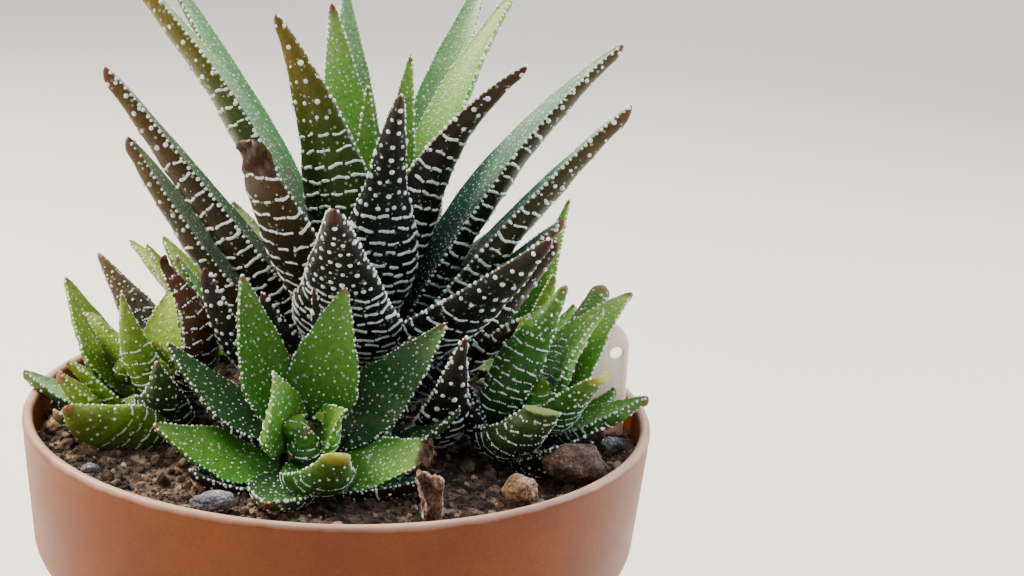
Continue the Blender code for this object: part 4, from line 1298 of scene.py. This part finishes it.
def buildBark():
    # curled across its width, with torn ends
    half, columns, rows = bark["half"], bark["across"], bark["up"]
    centre = middleOf("bark_chip")
    turn, lean = math.radians(bark["turn"]), math.radians(bark["lean"])
    spin = Quaternion((0, 0, 1), turn) @ Quaternion((1, 0, 0), lean)
    points = []
    for r in range(rows):
        for c in range(columns):
            u, v = 2 * c / (columns - 1) - 1, 2 * r / (rows - 1) - 1
            torn = noise.noise(Vector((u * 2.2, v * 2.2, 4))) + 0.5 * noise.noise(Vector((u * 6, v * 6, 9)))
            x = half[0] * u * (1 - 0.3 * v * v + 0.15 * torn)
            y = half[1] * (math.cos(2.4 * u + 0.8 * v) - 0.3 + 0.5 * torn + 0.35 * math.sin(4 * v + u))
            z = half[2] * (v + 0.16 * torn * v * v - 0.1 * u)
            points.append(centre + spin @ Vector((x, y, z)) * mm)
    faces = [(r * columns + c, r * columns + c + 1, (r + 1) * columns + c + 1, (r + 1) * columns + c)
             for r in range(rows - 1) for c in range(columns - 1)]
    flake = earthMaterial("dryFlake", bark["colours"], 1.8, 0.4)
    piece = meshPiece("bark_chip_weathered", points, faces, flake)
    wall = piece.modifiers.new("wall", "SOLIDIFY")
    wall.thickness = bark["thick"] * mm
    wall.offset = 0
    mesh = finalMesh(piece)
    piece.modifiers.clear()
    piece.data = mesh
    finishPiece(piece, ["bark_chip"])


buildStones()
buildBark()
print("stones laid")


# ---- plant label
# Blank tag of white polystyrene: smooth, slightly see-through, with scuffs and soil stains low down.
label = {
    "width": 9, "thick": 0.8, "edge": 0.14, "foot": 65, "taper": 5, "point": 0.6,  # mm
    "turn": 12, "sharpFrom": 35,  # degrees
    "place": (37.2, 6.5), "hole": 0.95, "holePlace": (2.6, -0.6),
    "headPoints": 36, "holePoints": 28,
}


def labelMaterial():
    made, tree, shader, body = newMaterial("whitePolystyrene", {
        "IOR": 1.59, "Subsurface Weight": 0.8, "Subsurface Scale": 0.003})
    place = addNode(tree, "ShaderNodeSeparateXYZ", {"Vector": body}).outputs
    smear = noiseOf(tree, body, 420, 4)  # 2.4 mm smears
    low = remapped(tree, place["Z"], soilTop + 0.004, soilTop - 0.001, 0, 0.7)
    colour = mixColours(tree, smear, "#FCFCFC", "#F1F2F2")
    dress(tree, shader, mixColours(tree, maths(tree, "MULTIPLY", low, smear), colour, "#7A6552"))
    tree.links.new(remapped(tree, smear, 0, 1, 0.22, 0.5), shader.inputs["Roughness"])
    return made


def buildLabel():
    half, thick, edge, foot = label["width"] / 2, label["thick"] / 2, label["edge"], label["foot"]
    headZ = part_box("plant_label")[1].z / mm - half
    outline = [(half * math.cos(a), headZ + half * math.sin(a))
               for a in np.linspace(0, math.pi, label["headPoints"])]
    outline += [(-half, foot + label["taper"]), (-label["point"], foot)]
    outline += [(label["point"], foot), (half, foot + label["taper"])]
    holeX, holeZ = label["holePlace"]
    hole = [(holeX + label["hole"] * math.cos(a), headZ + holeZ + label["hole"] * math.sin(a))
            for a in np.linspace(0, 2 * math.pi, label["holePoints"] + 1)[:-1]]
    curve = bpy.data.curves.new("plant_label_tag", "CURVE")
    curve.dimensions = "2D"
    curve.fill_mode = "BOTH"
    curve.extrude = (thick - edge) * mm
    curve.bevel_depth = edge * mm
    curve.bevel_resolution = 2
    curve.offset = -edge * mm
    for loop in (outline, hole):
        spline = curve.splines.new("POLY")
        spline.points.add(len(loop) - 1)
        spline.use_cyclic_u = True
        for point, (x, z) in zip(spline.points, loop):
            point.co = (x * mm, z * mm, 0, 1)
    source = newObject("plant_label_source", curve)
    mesh = finalMesh(source)
    bpy.data.objects.remove(source)
    stand = Quaternion((0, 0, 1), math.radians(label["turn"])) @ Quaternion((1, 0, 0), math.radians(90))
    shift = Vector((*label["place"], 0)) * mm
    mesh.transform(stand.to_matrix().to_4x4())
    for vert in mesh.vertices:
        vert.co += shift
    shape = bmesh.new()
    shape.from_mesh(mesh)
    bmesh.ops.remove_doubles(shape, verts=shape.verts, dist=1e-7)
    bmesh.ops.recalc_face_normals(shape, faces=shape.faces)
    shape.to_mesh(mesh)
    shape.free()
    mesh.materials.clear()
    mesh.materials.append(labelMaterial())
    mesh.shade_smooth()
    mesh.set_sharp_from_angle(angle=math.radians(label["sharpFrom"]))
    finishPiece(newObject("plant_label_tag", mesh), ["plant_label"])


buildLabel()


# ---- stems
# Pale fibrous succulent stem, in patches of green and brown
def stemMaterial():
    made, tree, shader, body = newMaterial("succulentStem", {"Roughness": 0.7, "IOR": 1.4})
    patches = noiseOf(tree, body, 700, 4)  # 1.4 mm patches
    colour = mixColours(tree, remapped(tree, patches, 0.4, 0.6), "#3E4A26", "#5F4A30")
    dress(tree, shader, colour, patches, 0.5, 0.2)
    return made


stemFlesh = stemMaterial()
for name, node in cadNodes.items():
    if name.endswith("_stem"):
        for materialSlot in node.material_slots:
            materialSlot.material = stemFlesh
print("label and stems done")
